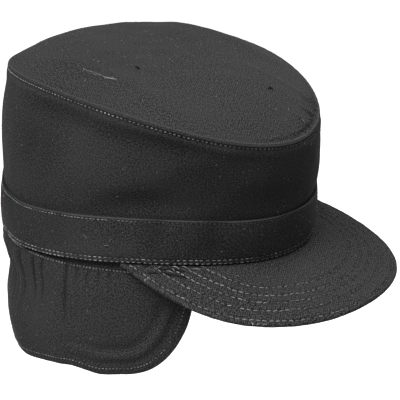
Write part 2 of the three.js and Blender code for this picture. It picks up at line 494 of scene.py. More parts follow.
@dataclass(frozen=True)
class Twill:
    """Cotton twill, woven with slanting ribs, dyed black, then worn and washed to charcoal.

    The eye gets a matt, slightly dusty surface: a fine slanting grain, small light and dark yarns,
    broad patches where the dye has faded, and paler edges where the cloth is rubbed. A vertex attribute
    also paints light and shade into the colour: painted light towards the rubbed colour, and painted
    shade towards the deepest dye in furrows, under the peak's edge and behind the right temple.
    """

    name: str
    dye: str
    paler: str
    rubbed_and_lit: str
    # Its ribs are about 0.6 mm apart and a pixel of the picture is as wide, so they are drawn at
    # nearly twice their spacing, which is as coarse as they need to be to show.
    rib: float = 1.15
    slant: float = 63.0
    slub: float = 0.9  # uneven yarns
    patch: float = 34.0  # where the dye has faded
    relief: float = 0.25
    grain: float = 1.0  # how far single yarns are paler or darker than the dye
    sunk: float = 0.65  # at a grain of 1, the share of light that a sunk yarn lacks
    raised: float = 0.95  # and the share that a raised one adds
    deepest_shade: float = 0.12  # the dye's light where the painted shade is deepest

    def yarn_tints(self) -> dict:
        """The dye's colour for each height of the weave: darker where yarns sink, paler where they rise."""
        dark, pale = max(1.0 - self.sunk * self.grain, 0.05), 1.0 + self.raised * self.grain
        return {0.42: linear(self.dye, dark), 0.5: linear(self.dye, 0.95), 0.58: linear(self.dye, pale)}

    def material(self) -> bpy.types.Material:
        """Makes the material. Bands follow sin(20 x scale), so a rib's scale is 2 pi / 20 over its width.

        Returns:
            The material, which reads the piece's own map of its cloth in millimetres.
        """
        made, tree, shader = plain_material(
            self.name,
            {"Roughness": 0.94, "Specular IOR Level": 0.12, "Sheen Weight": 0.03, "Sheen Roughness": 0.6},
        )
        cloth = add_node(tree, "ShaderNodeUVMap", {}, uv_map="cloth").outputs["UV"]
        turn = {"Vector": cloth, "Rotation": (0, 0, np.radians(self.slant))}
        slanted = add_node(tree, "ShaderNodeMapping", turn).outputs["Vector"]
        waves = {"Scale": 2 * np.pi / 20 / self.rib, "Distortion": 2.6, "Detail": 2.0, "Detail Scale": 1.6}
        ribs = add_node(tree, "ShaderNodeTexWave", {"Vector": slanted, **waves}).outputs["Fac"]
        uneven = {"Vector": slanted, "Scale": 1 / self.slub, "Detail": 3.0, "Roughness": 0.7}
        yarns = add_node(tree, "ShaderNodeTexNoise", uneven).outputs["Fac"]
        place = add_node(tree, "ShaderNodeTexCoord", {}).outputs["Object"]
        broad = {"Vector": place, "Scale": 1 / (self.patch * MM), "Detail": 4.0}
        patches = add_node(tree, "ShaderNodeTexNoise", broad).outputs["Fac"]
        # The attribute mixes in the rubbed colour, for real wear and for painted light, and below 0 the
        # deepest dye, for painted shade.
        wear_and_shade = add_node(tree, "ShaderNodeAttribute", {}, attribute_name="wear_and_shade").outputs["Fac"]
        painted_shade = add_node(tree, "ShaderNodeMath", {0: wear_and_shade, 1: -1.0}, operation="MULTIPLY").outputs[0]
        weave = {"Factor": 0.07, "A": yarns, "B": ribs}
        grain = add_node(tree, "ShaderNodeMix", weave, data_type="FLOAT").outputs["Result"]
        colour = add_node(tree, "ShaderNodeValToRGB", {0: grain}, self.yarn_tints()).outputs["Color"]
        washed = {0.4: (0, 0, 0, 1), 0.68: (0.4, 0.4, 0.4, 1)}
        spread = add_node(tree, "ShaderNodeValToRGB", {0: patches}, washed).outputs["Color"]
        # The colour of the deepest painted shade.
        deep = linear(self.dye, self.deepest_shade)
        for share, over in ((spread, linear(self.paler)), (wear_and_shade, linear(self.rubbed_and_lit)), (painted_shade, deep)):
            tinted = {"Factor": share, "A": colour, "B": over}
            colour = add_node(tree, "ShaderNodeMix", tinted, data_type="RGBA").outputs["Result"]
        raised = {"Factor": 0.15, "A": yarns, "B": ribs}
        height = add_node(tree, "ShaderNodeMix", raised, data_type="FLOAT").outputs["Result"]
        bumps = {"Strength": 0.55, "Distance": self.relief * MM, "Height": height}
        tree.links.new(add_node(tree, "ShaderNodeBump", bumps).outputs["Normal"], shader.inputs["Normal"])
        tree.links.new(colour, shader.inputs["Base Color"])
        return made


@dataclass(frozen=True)
class Yarn:
    """Spun cotton thread or loose fibre: matt, a little paler than the cloth, and uneven along its length."""

    name: str
    pale: str
    dull: str
    in_shade: str = "#464646"
    mottle: float = 6.0

    def material(self) -> bpy.types.Material:
        """Makes the material, mottled through space so that each stitch differs from the next, and darkened
        by painted shade towards the shade colour.
        """
        sheen = {"Roughness": 0.8, "Specular IOR Level": 0.3, "Sheen Weight": 0.2}
        made, tree, shader = plain_material(self.name, sheen)
        place = add_node(tree, "ShaderNodeTexCoord", {}).outputs["Object"]
        spots = {"Vector": place, "Scale": 1 / (self.mottle * MM), "Detail": 3.0}
        mottle = add_node(tree, "ShaderNodeTexNoise", spots).outputs["Fac"]
        # Painted shade: the attribute darkens the thread towards the shade colour.
        shade_depth = add_node(tree, "ShaderNodeAttribute", {}, attribute_name="wear_and_shade").outputs["Fac"]
        tints = {0.36: linear(self.dull), 0.62: linear(self.pale)}
        mottled = add_node(tree, "ShaderNodeValToRGB", {0: mottle}, tints).outputs["Color"]
        tinted = {"Factor": shade_depth, "A": mottled, "B": linear(self.in_shade)}
        colour = add_node(tree, "ShaderNodeMix", tinted, data_type="RGBA").outputs["Result"]
        tree.links.new(colour, shader.inputs["Base Color"])
        return made


@dataclass(frozen=True)
class LightTable:
    """Opal acrylic, cast in a sheet and lit evenly from below: a plain pale floor with next to no shadow."""

    name: str
    white: str
    shade: str
    glow: float = 0.95

    def material(self) -> bpy.types.Material:
        """Makes the material, which glows evenly and is very faintly mottled."""
        lit = {"Emission Strength": self.glow, "Roughness": 0.9}
        made, tree, shader = plain_material(self.name, lit)
        place = add_node(tree, "ShaderNodeTexCoord", {}).outputs["Object"]
        mottle = add_node(tree, "ShaderNodeTexNoise", {"Vector": place, "Scale": 4.0}).outputs["Fac"]
        tints = {0.3: linear(self.shade), 0.7: linear(self.white)}
        colour = add_node(tree, "ShaderNodeValToRGB", {0: mottle}, tints).outputs["Color"]
        for socket in ("Base Color", "Emission Color"):
            tree.links.new(colour, shader.inputs[socket])
        return made


# Panels


@dataclass(eq=False)
class Panel:
    """A piece of cloth whose outside is a function of two parameters.

    u runs round the cap or across the piece, and v runs from its root to its edge.
    """

    cap: CapForm
    name: ClassVar[str]
    slot: ClassVar[Slot]
    thickness: ClassVar[float] = 1.6
    hills: ClassVar[tuple] = ()  # height, width and seed of each soft swell
    furrow_shade: ClassVar[float] = 1.5  # how much painted shade a furrow a millimetre deep gets
    shade_limit: ClassVar[float] = 0.85  # and the most painted shade that any furrow gets
    shown_inside: ClassVar[float] = 0.65  # the share of the relief that shows on the inner face

    def form(self, u: Array, v: Array) -> Array:
        """The plain outside, in millimetres."""
        raise NotImplementedError

    def furrows(self, u: Array, v: Array) -> Array:
        """How far rows of stitching and sharp creases press the outside in, as heights below 0."""
        raise NotImplementedError

    def relief(self, u: Array, v: Array) -> Array:
        """How far folds, seams and rows of stitching raise the outside from its plain form."""
        raise NotImplementedError

    def rub_and_painted_light(self, u: Array, v: Array) -> Array:
        """How much the cloth is rubbed or lit by painted light, up to 1, or how much painted shade darkens
        it, down to -1.
        """
        raise NotImplementedError

    def flat(self, u: Array, v: Array) -> Array:
        """Where a place lies on the flat cloth, in millimetres, for the weave: here straight below it."""
        return self.form(u, v)[..., :2]

    def wear_and_shade(self, u: Array, v: Array) -> Array:
        """How much the cloth is rubbed or painted lighter, less painted shade by how deep in a furrow it
        lies.
        """
        return self.rub_and_painted_light(u, v) - np.clip(-self.furrows(u, v) * self.furrow_shade, 0.0, self.shade_limit)

    def swells(self, place: Array) -> Array:
        """The panel's soft hills and hollows, added up."""
        return sum(high * swell(place, size, seed) for high, size, seed in self.hills)

    def normal(self, u: Array, v: Array) -> Array:
        """The way out of the cloth, a unit vector for each place."""
        raise NotImplementedError

    def outside(self, u: Array, v: Array, lift: float = 0.0) -> Array:
        """The cloth's outer face, raised by its relief, and by a lift for what lies on it."""
        height = self.relief(u, v) + lift
        return self.form(u, v) + self.normal(u, v) * height[..., None]

    def inside(self, u: Array, v: Array, share: Array = 1.0) -> Array:
        """The inner face, a cloth's thickness in or a share of it, with part of the relief."""
        depth = self.thickness * share - self.relief(u, v) * self.shown_inside
        return self.form(u, v) - self.normal(u, v) * np.asarray(depth)[..., None]

    def sewn(self, u: Array, v: Array, v_in: Array, closed: bool, share: Array = 1.0) -> bpy.types.Object:
        """Makes the piece from its parameters, with its weave, its wear and its painted light and shade.

        Args:
            u: the columns' parameter.
            v: the outer rows' parameter.
            v_in: the inner rows' parameter.
            closed: whether the last column joins the first.
            share: the thickness at each inner row, as a share of the cloth's own.

        Returns:
            The piece.
        """
        u, v, v_in = u[:, None], v[None], v_in[None]
        shell = sewn_shell(self.outside(u, v), self.inside(u, v_in, share))
        columns, rows = shell.shape[:2]
        points = shell.reshape(-1, 3)
        faces = facing_out(points, grid_faces(columns, rows, closed, True)).tolist()
        if not closed:
            end = (columns - 1) * rows
            faces += [list(range(rows)), list(range(end, end + rows))[::-1]]
        piece = mesh_object(self.name, points, faces)
        # The weave runs on past the last row, round the edge, by one and a half steps a vertex.
        past = 1.5 * (v[0, -1] - v[0, -2]) * np.arange(1, EDGE_TURNS + 1)
        down = np.concatenate([v[0], v[0, -1] + past, v_in[0, ::-1], np.full(EDGE_TURNS, v[0, 0])])[None]
        wear_and_shade = self.wear_and_shade(u, down)
        under = v.size + EDGE_TURNS
        wear_and_shade[:, under : under + v_in.size] = 0.0
        paint(piece, self.flat(u, down).reshape(-1, 2), wear_and_shade.ravel())
        return piece


@dataclass(eq=False)
class RingPanel(Panel):
    """A panel that goes round the cap, cut as a strip."""

    weave_height: ClassVar[float] = 1.0  # millimetres of cloth to one of v
    squared: ClassVar[tuple] = (1.3, 0.95, 0.0)  # turns a place on the rim into the way out of the cap there

    def normal(self, u: Array, v: Array) -> Array:
        """Straight out from the cap's axis, which keeps the wall even where the form bends."""
        out = self.cap.rim.at(u, 0.0 * v) * np.array(self.squared)
        return unit(np.broadcast_to(out, np.broadcast(u, v).shape + (3,)))

    def flat(self, u: Array, v: Array) -> Array:
        """The strip: lengths along the rim, and v times the strip's height."""
        return np.stack(np.broadcast_arrays(u * self.cap.girth, v * self.weave_height), axis=-1)

    def ring(self, columns: int, v: Array, v_in: Array) -> bpy.types.Object:
        """Makes a closed ring of cloth with rounded edges, from its outer and inner rows."""
        return self.sewn(np.linspace(0.0, 2.0 * np.pi, columns, endpoint=False), v, v_in, closed=True)


@dataclass(eq=False)
class CrownTop(Panel):
    """The domed top panel, with its rolled seam edge, its creases and the puckers in front."""

    dome: float = 19.0
    lean: float = 0.002
    fullness: float = 3.0
    bead: float = 0.35
    bead_width: float = 0.7
    crease_side: float = 53.0  # how far to each side its two long creases lie
    tight_turn: float = 14.0  # where the seam is drawn tightest
    reach: float = 90.0  # millimetres from the middle to the seam, on average
    columns: int = 560
    nudge: float = 1e-3  # of u and v, for measuring slopes
    name = "top_panel"
    slot = Slot.TOP
    furrow_shade = 0.9
    hills = ((0.5, 62.0, 11), (0.16, 17.0, 12))
    # Two long folds, and four short ones that run in from the front of the seam.
    folds = Folds(
        (
            (25.0, -44.0, 38.0, -80.0, 2.6, 0.5), (-30.0, -74.0, -8.0, -60.0, 4.0, -0.4),
            (13.0, -88.0, 19.0, -100.0, 1.3, 0.55), (20.0, -84.0, 28.0, -96.0, 1.4, -0.5),
            (27.0, -80.0, 37.0, -92.0, 1.3, 0.5), (4.0, -92.0, 7.0, -104.0, 1.3, -0.4),
        ),
        fade=5.0,
    )
    # The pulled creases where the front of the seam is drawn tight.
    creases = Folds(
        (
            (16.0, -96.0, 16.6, -100.0, 1.3, -0.3), (26.0, -89.0, 28.4, -95.5, 1.2, -0.6),
            (33.5, -81.0, 35.0, -91.0, 1.7, -0.35), (40.5, -81.0, 42.0, -86.0, 1.2, -0.45),
        ),
        fade=2.5,
    )

    def form(self, u: Array, v: Array) -> Array:
        """The dome: the seam's oval drawn in by v, raised by 1 less v cubed, a little more at the back.

        Args:
            u: angle from the front.
            v: reach, from the middle (0) to the seam (1).

        Returns:
            Places in millimetres.
        """
        edge = self.cap.seam.at(u, 0.0)
        x = edge[..., 0] * v
        y = self.cap.seam.middle * (1.0 - v) + edge[..., 1] * v
        height = self.dome * (1.0 - np.abs(v) ** self.fullness) * (1.0 + self.lean * y)
        return np.stack([x, y, self.cap.seam_level(u, v) + height], axis=-1)

    def normal(self, u: Array, v: Array) -> Array:
        """The cross product of the plain form's two slopes.

        Args:
            u: angle from the front.
            v: reach.

        Returns:
            A unit vector for each place.
        """
        across = self.form(u + self.nudge, v) - self.form(u - self.nudge, v)
        along = self.form(u, v + self.nudge) - self.form(u, v - self.nudge)
        return unit(np.cross(along, across))

    def relief(self, u: Array, v: Array) -> Array:
        """The rolled edge, the groove inside it, two long creases, puckers in front and soft hills.

        Args:
            u: angle from the front.
            v: reach, from the middle (0) to the seam (1).

        Returns:
            Heights in millimetres.
        """
        place = self.form(u, v)
        edge = self.cap.seam.at(u, 0.0)[..., :2]
        inward = (1.0 - v) * np.hypot(edge[..., 0], edge[..., 1])
        front = bell(turned(u, -8.0), 52.0) ** 2
        rolled = self.bead * bell(inward, self.bead_width) - 0.18 * front * bell(inward - 2.2, 1.2)
        drawn = 0.08 + 0.4 * bell(turned(u, self.tight_turn), 15.0)
        gathered = drawn * puckers(self.cap.length_round(u), 5.5, 3) * bell(inward - 4.0, 6.0)
        x, y = place[..., 0], place[..., 1]
        crease = 1.1 * bell(np.abs(x) - self.crease_side, 6.5) * np.where(x < 0, 1.0, 0.6)
        crease = crease * rise(y, 62.0, 25.0) * rise(y, -75.0, -45.0)
        folds = self.folds.raised(x, y) + self.furrows(u, v)
        return rolled + gathered + crease + folds + self.swells(place) * rise(inward, 1.0, 14.0)

    def furrows(self, u: Array, v: Array) -> Array:
        """The creases pulled in front, and a groove along the seam there.

        Args:
            u: angle from the front.
            v: reach, from the middle to the seam.

        Returns:
            Heights in millimetres.
        """
        place = self.form(u, v)
        inward = (1.0 - v) * self.cap.seam.length
        groove = -0.45 * bell(inward - 2.6, 1.2) * bell(turned(u, self.tight_turn), 24.0)
        return groove + self.creases.raised(place[..., 0], place[..., 1]) * rise(inward, -0.5, 2.5)

    def rub_and_painted_light(self, u: Array, v: Array) -> Array:
        """Rubbed along the rolled edge, and a little over the front."""
        return 0.45 * bell((1.0 - v) * self.reach, self.bead_width) + 0.12 * rise(v * np.cos(u), 0.0, 0.7)

    def mesh(self) -> bpy.types.Object:
        """Makes the panel: rings from near the middle to the edge and back inside, and a fan at each pole.

        Returns:
            The piece.
        """
        u = np.linspace(0.0, 2.0 * np.pi, self.columns, endpoint=False)[:, None]
        v, v_in = steps((0.04, 0.86, 62), (0.865, 0.998, 34))[None], steps((0.04, 0.998, 24))[None]
        thinned = 1.0 - 0.7 * rise(v_in, 0.9, 0.99)  # towards the seam
        shell = sewn_shell(self.outside(u, v), self.inside(u, v_in, thinned))
        rows = v.size + EDGE_TURNS + v_in.size
        rings = shell[:, :rows]
        points = rings.reshape(-1, 3)
        poles = np.stack([rings[:, 0].mean(0), rings[:, -1].mean(0)])
        ring = np.arange(self.columns) * rows
        after = np.roll(ring, -1)
        first, last = np.full(self.columns, len(points)), np.full(self.columns, len(points) + 1)
        quads = grid_faces(self.columns, rows, True, False)
        fans = [np.stack([first, after, ring], -1), np.stack([last, ring + rows - 1, after + rows - 1], -1)]
        points = np.concatenate([points, poles])
        if facing_out(points, quads) is not quads:
            quads, fans = quads[:, ::-1], [fan[:, ::-1] for fan in fans]
        piece = mesh_object(self.name, points, quads.tolist() + fans[0].tolist() + fans[1].tolist())
        wear_and_shade = np.zeros((self.columns, rows))
        wear_and_shade[:, : v.size] = self.wear_and_shade(u, v)
        paint(piece, points[:, :2], np.append(wear_and_shade.ravel(), [0.0, 0.0]))
        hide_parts("crown_top")
        return piece


@dataclass(eq=False)
class CrownSide(RingPanel):
    """The side panel, from the rim behind the band up to the top's seam, soft and dented."""

    bulge: float = 1.6
    lower: float = 0.8  # below 1, the bulge lies lower
    row_below_seam: float = 1.7
    row_depth: float = 0.5
    row_width: float = 0.85
    shoulder: float = 1.1  # how far the doubled strip under the seam stands out
    near_turn: float = -66.0  # where the strip stands out most, on both sides
    far_turn: float = 84.0
    seam_gap: float = 0.55  # from its head up to the top panel
    fold_height: float = 50.0  # millimetres to one of v, where the folds are laid
    name = "side_panel"
    slot = Slot.SIDE
    weave_height = 60.0
    hills = ((0.5, 48.0, 22), (0.14, 15.0, 23))
    # Each fold runs from a length round the side and a height above the band to another.
    folds = Folds(
        (
            (-139.0, 4.0, -50.0, 46.0, 6.5, 0.85), (-124.0, -4.0, -32.0, 36.0, 9.0, -0.7),
            (-142.0, 24.0, -128.0, 42.0, 6.0, 0.5), (-176.0, 20.0, -168.0, 34.0, 6.0, -0.5),
            (92.0, 6.0, 168.0, 40.0, 8.0, 0.7), (60.0, 10.0, 118.0, 34.0, 8.0, -0.5),
            (230.0, 8.0, 270.0, 40.0, 9.0, 0.5), (-280.0, 36.0, -220.0, 8.0, 9.0, 0.5),
        )
    )
    dents = Spots(
        (
            (-104, 11, 0.5, 0.17, 1.6), (-62, 20, 0.16, 0.13, 1.5), (-22, 20, 0.3, 0.2, 1.4),
            (-52, 17, 0.82, 0.09, 1.1), (-98, 9, 0.84, 0.08, 1.0), (48, 16, 0.52, 0.16, 1.3),
            (96, 22, 0.24, 0.15, 1.5), (152, 18, 0.6, 0.18, 1.4),
        ),
    )
    rubbed_seam = Spots(((6.0, 34.0, 0.0, 0.8, 0.6),))  # below the seam in front, in millimetres
    # A paler patch on the lit side at the temple: painted light.
    paler = Spots(((-84.0, 24.0, 0.55, 0.42, 0.2),))

    def form(self, u: Array, v: Array) -> Array:
        """The side: straight up behind the band for v below 0, then from band to seam with a soft bulge.

        Args:
            u: angle from the front.
            v: share of the way up, from the band's top (0) to the seam (1), and -1 at the rim.

        Returns:
            Places in millimetres.
        """
        u, v = paired(u, v)
        cap, under = self.cap, self.cap.cloth + self.cap.gap
        low, share = np.clip(v + 1.0, 0.0, 1.0), np.clip(v, 0.0, 1.001)
        bow = under - 1.2 * np.sin(np.pi * low)
        behind = cap.rim.towards(cap.band_top, low).at(u, cap.rim_level(u) + low * cap.band_height, bow)
        foot, head = cap.rim_level(u) + cap.band_height, cap.seam_level(u) - self.seam_gap
        out = self.bulge * np.sin(np.pi * np.minimum(share, 1.0) ** self.lower) - self.dents.raised(u, share)
        inset = under * (1.0 - share) ** 2 - out
        above = cap.band_top.towards(cap.seam, share).at(u, foot + (head - foot) * share, inset)
        return np.where((v < 0.0)[..., None], behind, above)

    def below(self, u: Array, v: Array) -> Array:
        """How far below the seam a place is, in millimetres."""
        return (1.0 - v) * self.cap.side_height(u)

    def relief(self, u: Array, v: Array) -> Array:
        """The doubled strip under the seam, puckers at the seam and the band, folds and soft hills.

        Args:
            u: angle from the front.
            v: share of the way up.

        Returns:
            Heights in millimetres.
        """
        below, along = self.below(u, v), self.cap.length_round(u)
        near, far = bell(turned(u, self.near_turn), 44.0), bell(turned(u, self.far_turn), 50.0)
        strip = self.shoulder * (0.35 + 0.65 * near + 0.4 * far) * (1.0 - rise(below, 3.6, 10.0))
        drawn = 0.18 * puckers(along, 6.0, 21) * bell(below - 4.0, 5.0)
        above_band = 0.08 * puckers(along, 9.0, 24) * bell(v, 0.16)
        folds = self.folds.raised(np.radians(turned(u, 0.0)) * self.cap.girth, v * self.fold_height)
        free = (self.swells(self.form(u, v)) + folds) * rise(v, 0.0, 0.12) * (1.0 - rise(v, 0.9, 0.99))
        return np.where(v < 0.0, 0.0, strip + drawn + above_band + free) + self.furrows(u, v)

    def furrows(self, u: Array, v: Array) -> Array:
        """A furrow along the seam's row, and faintly the dents, of the plain form, and the strip's foot.

        Args:
            u: angle from the front.
            v: share of the way up.

        Returns:
            Heights in millimetres.
        """
        below = self.below(u, v)
        row = -self.row_depth * bell(below - self.row_below_seam, self.row_width)
        proud = bell(turned(u, self.near_turn), 40.0) + 0.5 * bell(turned(u, self.far_turn), 50.0)
        foot = -0.16 * bell(below - 10.5, 4.0) * proud
        return np.where(v < 0.0, 0.0, row + foot - 0.07 * self.dents.raised(u, v))

    def rub_and_painted_light(self, u: Array, v: Array) -> Array:
        """Faintly rubbed on the doubled strip, more along the seam in front, and painted light at the temple.
        """
        below = self.below(u, v)
        strip = 0.14 * (1.0 - rise(below, 3.0, 8.0))
        return strip + self.rubbed_seam.raised(u, below) + self.paler.raised(u, v)

    def mesh(self) -> bpy.types.Object:
        """Makes the panel."""
        outer = steps((-0.97, -0.05, 8), (0.0, 0.84, 50), (0.847, 0.995, 24))
        piece = self.ring(600, outer, steps((-0.97, -0.05, 6), (0.0, 0.995, 16)))
        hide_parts("crown_side")
        return piece


@dataclass(eq=False)
class HeadBand(RingPanel):
    """The band round the foot of the side, folded at its top and stitched along both edges."""

    bulge: float = 1.2
    rows_up: tuple[float, ...] = (0.9, 3.0, 24.9)
    row_depth: float = 0.32
    row_width: float = 0.6
    drawn: float = 0.1  # the height of the puckers across a row
    name = "head_band"
    slot = Slot.BAND
    hills = ((0.3, 30.0, 35), (0.1, 11.0, 36))
    # Upright dents: the angle, width and depth of each.
    dents = (
        (-57, 3.5, 0.5), (-38, 5.0, 0.6), (-92, 6.0, 0.35), (-4, 7.0, 0.4), (31, 6.0, 0.4), (75, 5.0, 0.5),
        (128, 7.0, 0.4), (-140, 6.0, 0.4),
    )
    # Painted light at the temple, and painted shade behind it over the whole height.
    painted_light_and_shade = Spots(((-74.0, 26.0, 8.0, 8.0, 0.16), (-122.0, 18.0, 0.0, np.inf, -0.34)))

    def form(self, u: Array, v: Array) -> Array:
        """The band: from the rim's oval to the oval of its top, with a soft bulge.

        Args:
            u: angle from the front.
            v: rise above the rim in millimetres.

        Returns:
            Places in millimetres.
        """
        share = v / self.cap.band_height
        out = self.bulge * np.sin(np.pi * np.clip(share, 0.0, 1.0))
        return self.cap.rim.towards(self.cap.band_top, share).at(u, self.cap.rim_level(u) + v, -out)

    def dent(self, u: Array, v: Array) -> Array:
        """The upright dents' depth, which fades towards the rim."""
        return sum(depth * bell(turned(u, at), turn) for at, turn, depth in self.dents) * rise(v, 3.0, 12.0)

    def relief(self, u: Array, v: Array) -> Array:
        """Puckers across each row of stitching, its furrow, upright dents and soft hills.

        Args:
            u: angle from the front.
            v: rise above the rim.

        Returns:
            Heights in millimetres.
        """
        along = self.cap.length_round(u)
        drawn = sum(
            self.drawn * puckers(along, 5.0, 31 + number) * bell(v - row, 3.0)
            for number, row in enumerate(self.rows_up)
        )
        return drawn - self.dent(u, v) + self.swells(self.form(u, v)) + self.furrows(u, v)

    def furrows(self, u: Array, v: Array) -> Array:
        """A furrow along each row of stitching, and the upright dents again, faintly."""
        rows = sum(bell(v - row, self.row_width) for row in self.rows_up)
        return -self.row_depth * rows - 0.35 * self.dent(u, v)

    def rub_and_painted_light(self, u: Array, v: Array) -> Array:
        """Rubbed along its folded top and its bottom edge, with the painted light and shade besides."""
        worn = 0.65 * bell(self.cap.band_height - 0.3 - v, 0.5) + 0.25 * bell(v - 1.6, 1.4)
        return worn + self.painted_light_and_shade.raised(u, v)

    def mesh(self) -> bpy.types.Object:
        """Makes the band."""
        piece = self.ring(640, steps((0.7, 25.8, 60)), steps((0.7, 25.8, 8)))
        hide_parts("band")
        return piece


@dataclass(eq=False)
class Peak(Panel):
    """The peak: twill round a stiff board, quilted by rows of stitching that run along its edge."""

    end: float = 67.0
    reach: float = 116.3
    fullness: float = 11.3
    roundness: float = 0.87
    drop: float = 35.7
    drop_spread: float = 1.1
    lift: float = 20.1
    curve: float = 1.15
    root_inset: float = 3.7
    rows_in: tuple[float, ...] = (3.0, 11.0, 17.3, 23.0, 30.0)
    row_from_band: float = 8.0
    creases = Folds(
        (
            (-73.7, -50.8, -69.5, -62.0, 0.8, -0.6), (-69.5, -62.0, -63.2, -72.0, 0.8, -0.6),
            (-76.2, -57.2, -71.5, -64.0, 0.8, -0.65), (-71.5, -64.0, -66.1, -76.9, 0.8, -0.65),
            (21.0, -97.5, 12.0, -99.5, 0.9, -0.5),
        ),
        fade=2.0,
    )
    row_depth: float = 0.36
    row_width: float = 0.75
    pull: float = 0.42  # u of the folds that the far end of its root is drawn into
    name = "peak_board"
    slot = Slot.PEAK
    thickness = 3.0
    hills = ((0.12, 9.0, 41), (0.25, 40.0, 42))

    def line(self, v: float, count: int = 401) -> Array:
        """A line across the peak at one reach."""
        return self.form(np.linspace(-1.0, 1.0, count), np.full(count, v))

    def form(self, u: Array, v: Array) -> Array:
        """The peak: straight lines from its root on the rim to its edge, bent down a little more towards it.

        The edge swings out by a sine and a smaller sine of twice the turn, reaches forward by a power
        of the cosine and drops by another.

        Args:
            u: from one end (-1) to the other (1).
            v: from the root (0) to the edge (1).

        Returns:
            Places in millimetres.
        """
        u, v = paired(u, v)
        cap, end = self.cap, np.radians(self.end)
        root = cap.rim.at(u * end, cap.rim_level(u * end) - cap.gap, self.root_inset)
        corner = cap.rim.at(np.array(end), cap.rim_level(end) - cap.gap)
        turn = np.clip(u, -1.0, 1.0) * np.pi / 2.0
        ahead = np.maximum(np.cos(turn), 0.0)
        edge = np.stack(
            [
                corner[0] * np.sin(turn) + self.fullness * np.sin(2.0 * turn),
                corner[1] - self.reach * ahead**self.roundness,
                corner[2] - self.drop * ahead**self.drop_spread + self.lift * ahead**2,
            ],
            axis=-1,
        )
        place = root + (edge - root) * v[..., None]
        place[..., 2] = root[..., 2] + (edge[..., 2] - root[..., 2]) * np.maximum(v, 0.0) ** self.curve
        return place

    def normal(self, u: Array, v: Array) -> Array:
        """Straight up, so that the board keeps its thickness at its pointed ends."""
        return np.broadcast_to(np.array([0.0, 0.0, 1.0]), np.broadcast(u, v).shape + (3,))

    def measured(self, u: Array, v: Array) -> tuple[Array, Array, Array]:
        """Places on the plain form, and how far in from the edge and out from the root they are."""
        place = self.form(u, v)
        return place, away_from(place, self.line(1.0)), away_from(place, self.line(0.0))

    def relief(self, u: Array, v: Array) -> Array:
        """The furrows, low swelling between them, wrinkles at both ends and the folds pulled at the root.

        Args:
            u: from one end to the other.
            v: from root to edge.

        Returns:
            Heights in millimetres.
        """
        place, inward, outward = self.measured(u, v)
        padded = 0.16 * swell(place, 4.5, 43, waves=30) * bell(inward - 16.0, 18.0)
        wrinkles = 0.4 * np.sin(outward * 1.7 + 9.0 * u) * bell(outward - 4.5, 3.5)
        wrinkles = wrinkles * bell(np.abs(u) - 0.78, 0.14)
        pulled = 0.45 * np.sin(outward * 1.9) * bell(outward - 3.5, 2.5) * bell(u - self.pull, 0.2)
        turned_under = 0.5 * (1.0 - rise(inward, 0.0, 1.2))
        return self.swells(place) + padded + wrinkles + pulled + self.furrows(u, v) - turned_under

    def furrows(self, u: Array, v: Array) -> Array:
        """A broken furrow along each row of stitching, two faint ones by the band, and the corner's creases.

        Args:
            u: from one end to the other.
            v: from root to edge.

        Returns:
            Heights in millimetres.
        """
        place, inward, outward = self.measured(u, v)
        by_band = 0.15 * bell(outward - self.row_from_band, 0.8)
        by_band = by_band + 0.3 * bell(outward - 2.4, 0.6) * bell(u - self.pull, 0.2)
        broken = np.clip(1.0 + 0.8 * swell(place, 3.2, 44, waves=40), 0.1, 2.2) * rise(outward, 1.0, 4.0)
        rows = self.row_depth * broken * sum(bell(inward - row, self.row_width) for row in self.rows_in)
        return self.creases.raised(place[..., 0], place[..., 1]) - by_band - rows

    def rub_and_painted_light(self, u: Array, v: Array) -> Array:
        """A little rubbed on top along its outer edge, and darker as the edge turns under, which is painted
        shade.
        """
        near = bell(away_from(self.form(u, v), self.line(1.0)), 1.0)
        return np.where(v > 0.99, -0.15, 0.12 * near)

    def mesh(self) -> bpy.types.Object:
        """Makes the peak, thinner towards its edge, with closer columns towards its ends."""
        even = np.linspace(-1.0, 1.0, 380)
        u = np.sin(even * np.pi / 2.0) * 0.35 + even * 0.65
        v, v_in = steps((0.02, 0.9, 92), (0.907, 0.988, 16)), steps((0.02, 0.988, 30))
        piece = self.sewn(u, v, v_in, closed=False, share=0.9 - 0.35 * v_in[None] ** 2)
        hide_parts("peak")
        return piece

    def row(self, inward: float, from_root: bool = False) -> tuple[Array, Array]:
        """Finds where a row of stitching runs, a fixed way in from the edge or out from the root.

        Args:
            inward: the row's distance in millimetres.
            from_root: whether it is measured from the root.

        Returns:
            The row's u and v.
        """
        u = np.linspace(-0.97, 0.97, 300)
        v = np.linspace(0.03, 0.995, 150)
        far = away_from(self.form(u[:, None], v[None]), self.line(0.0 if from_root else 1.0))
        past = (far >= inward) if from_root else (far <= inward)
        first = past.argmax(1)
        crossed = past.any(1) & (first > 0)
        here, before = far[np.arange(u.size), first], far[np.arange(u.size), np.maximum(first - 1, 0)]
        share = np.clip((inward - before) / np.where(here == before, 1.0, here - before), 0.0, 1.0)
        return u[crossed], (v[first] - (1.0 - share) * (v[1] - v[0]))[crossed]


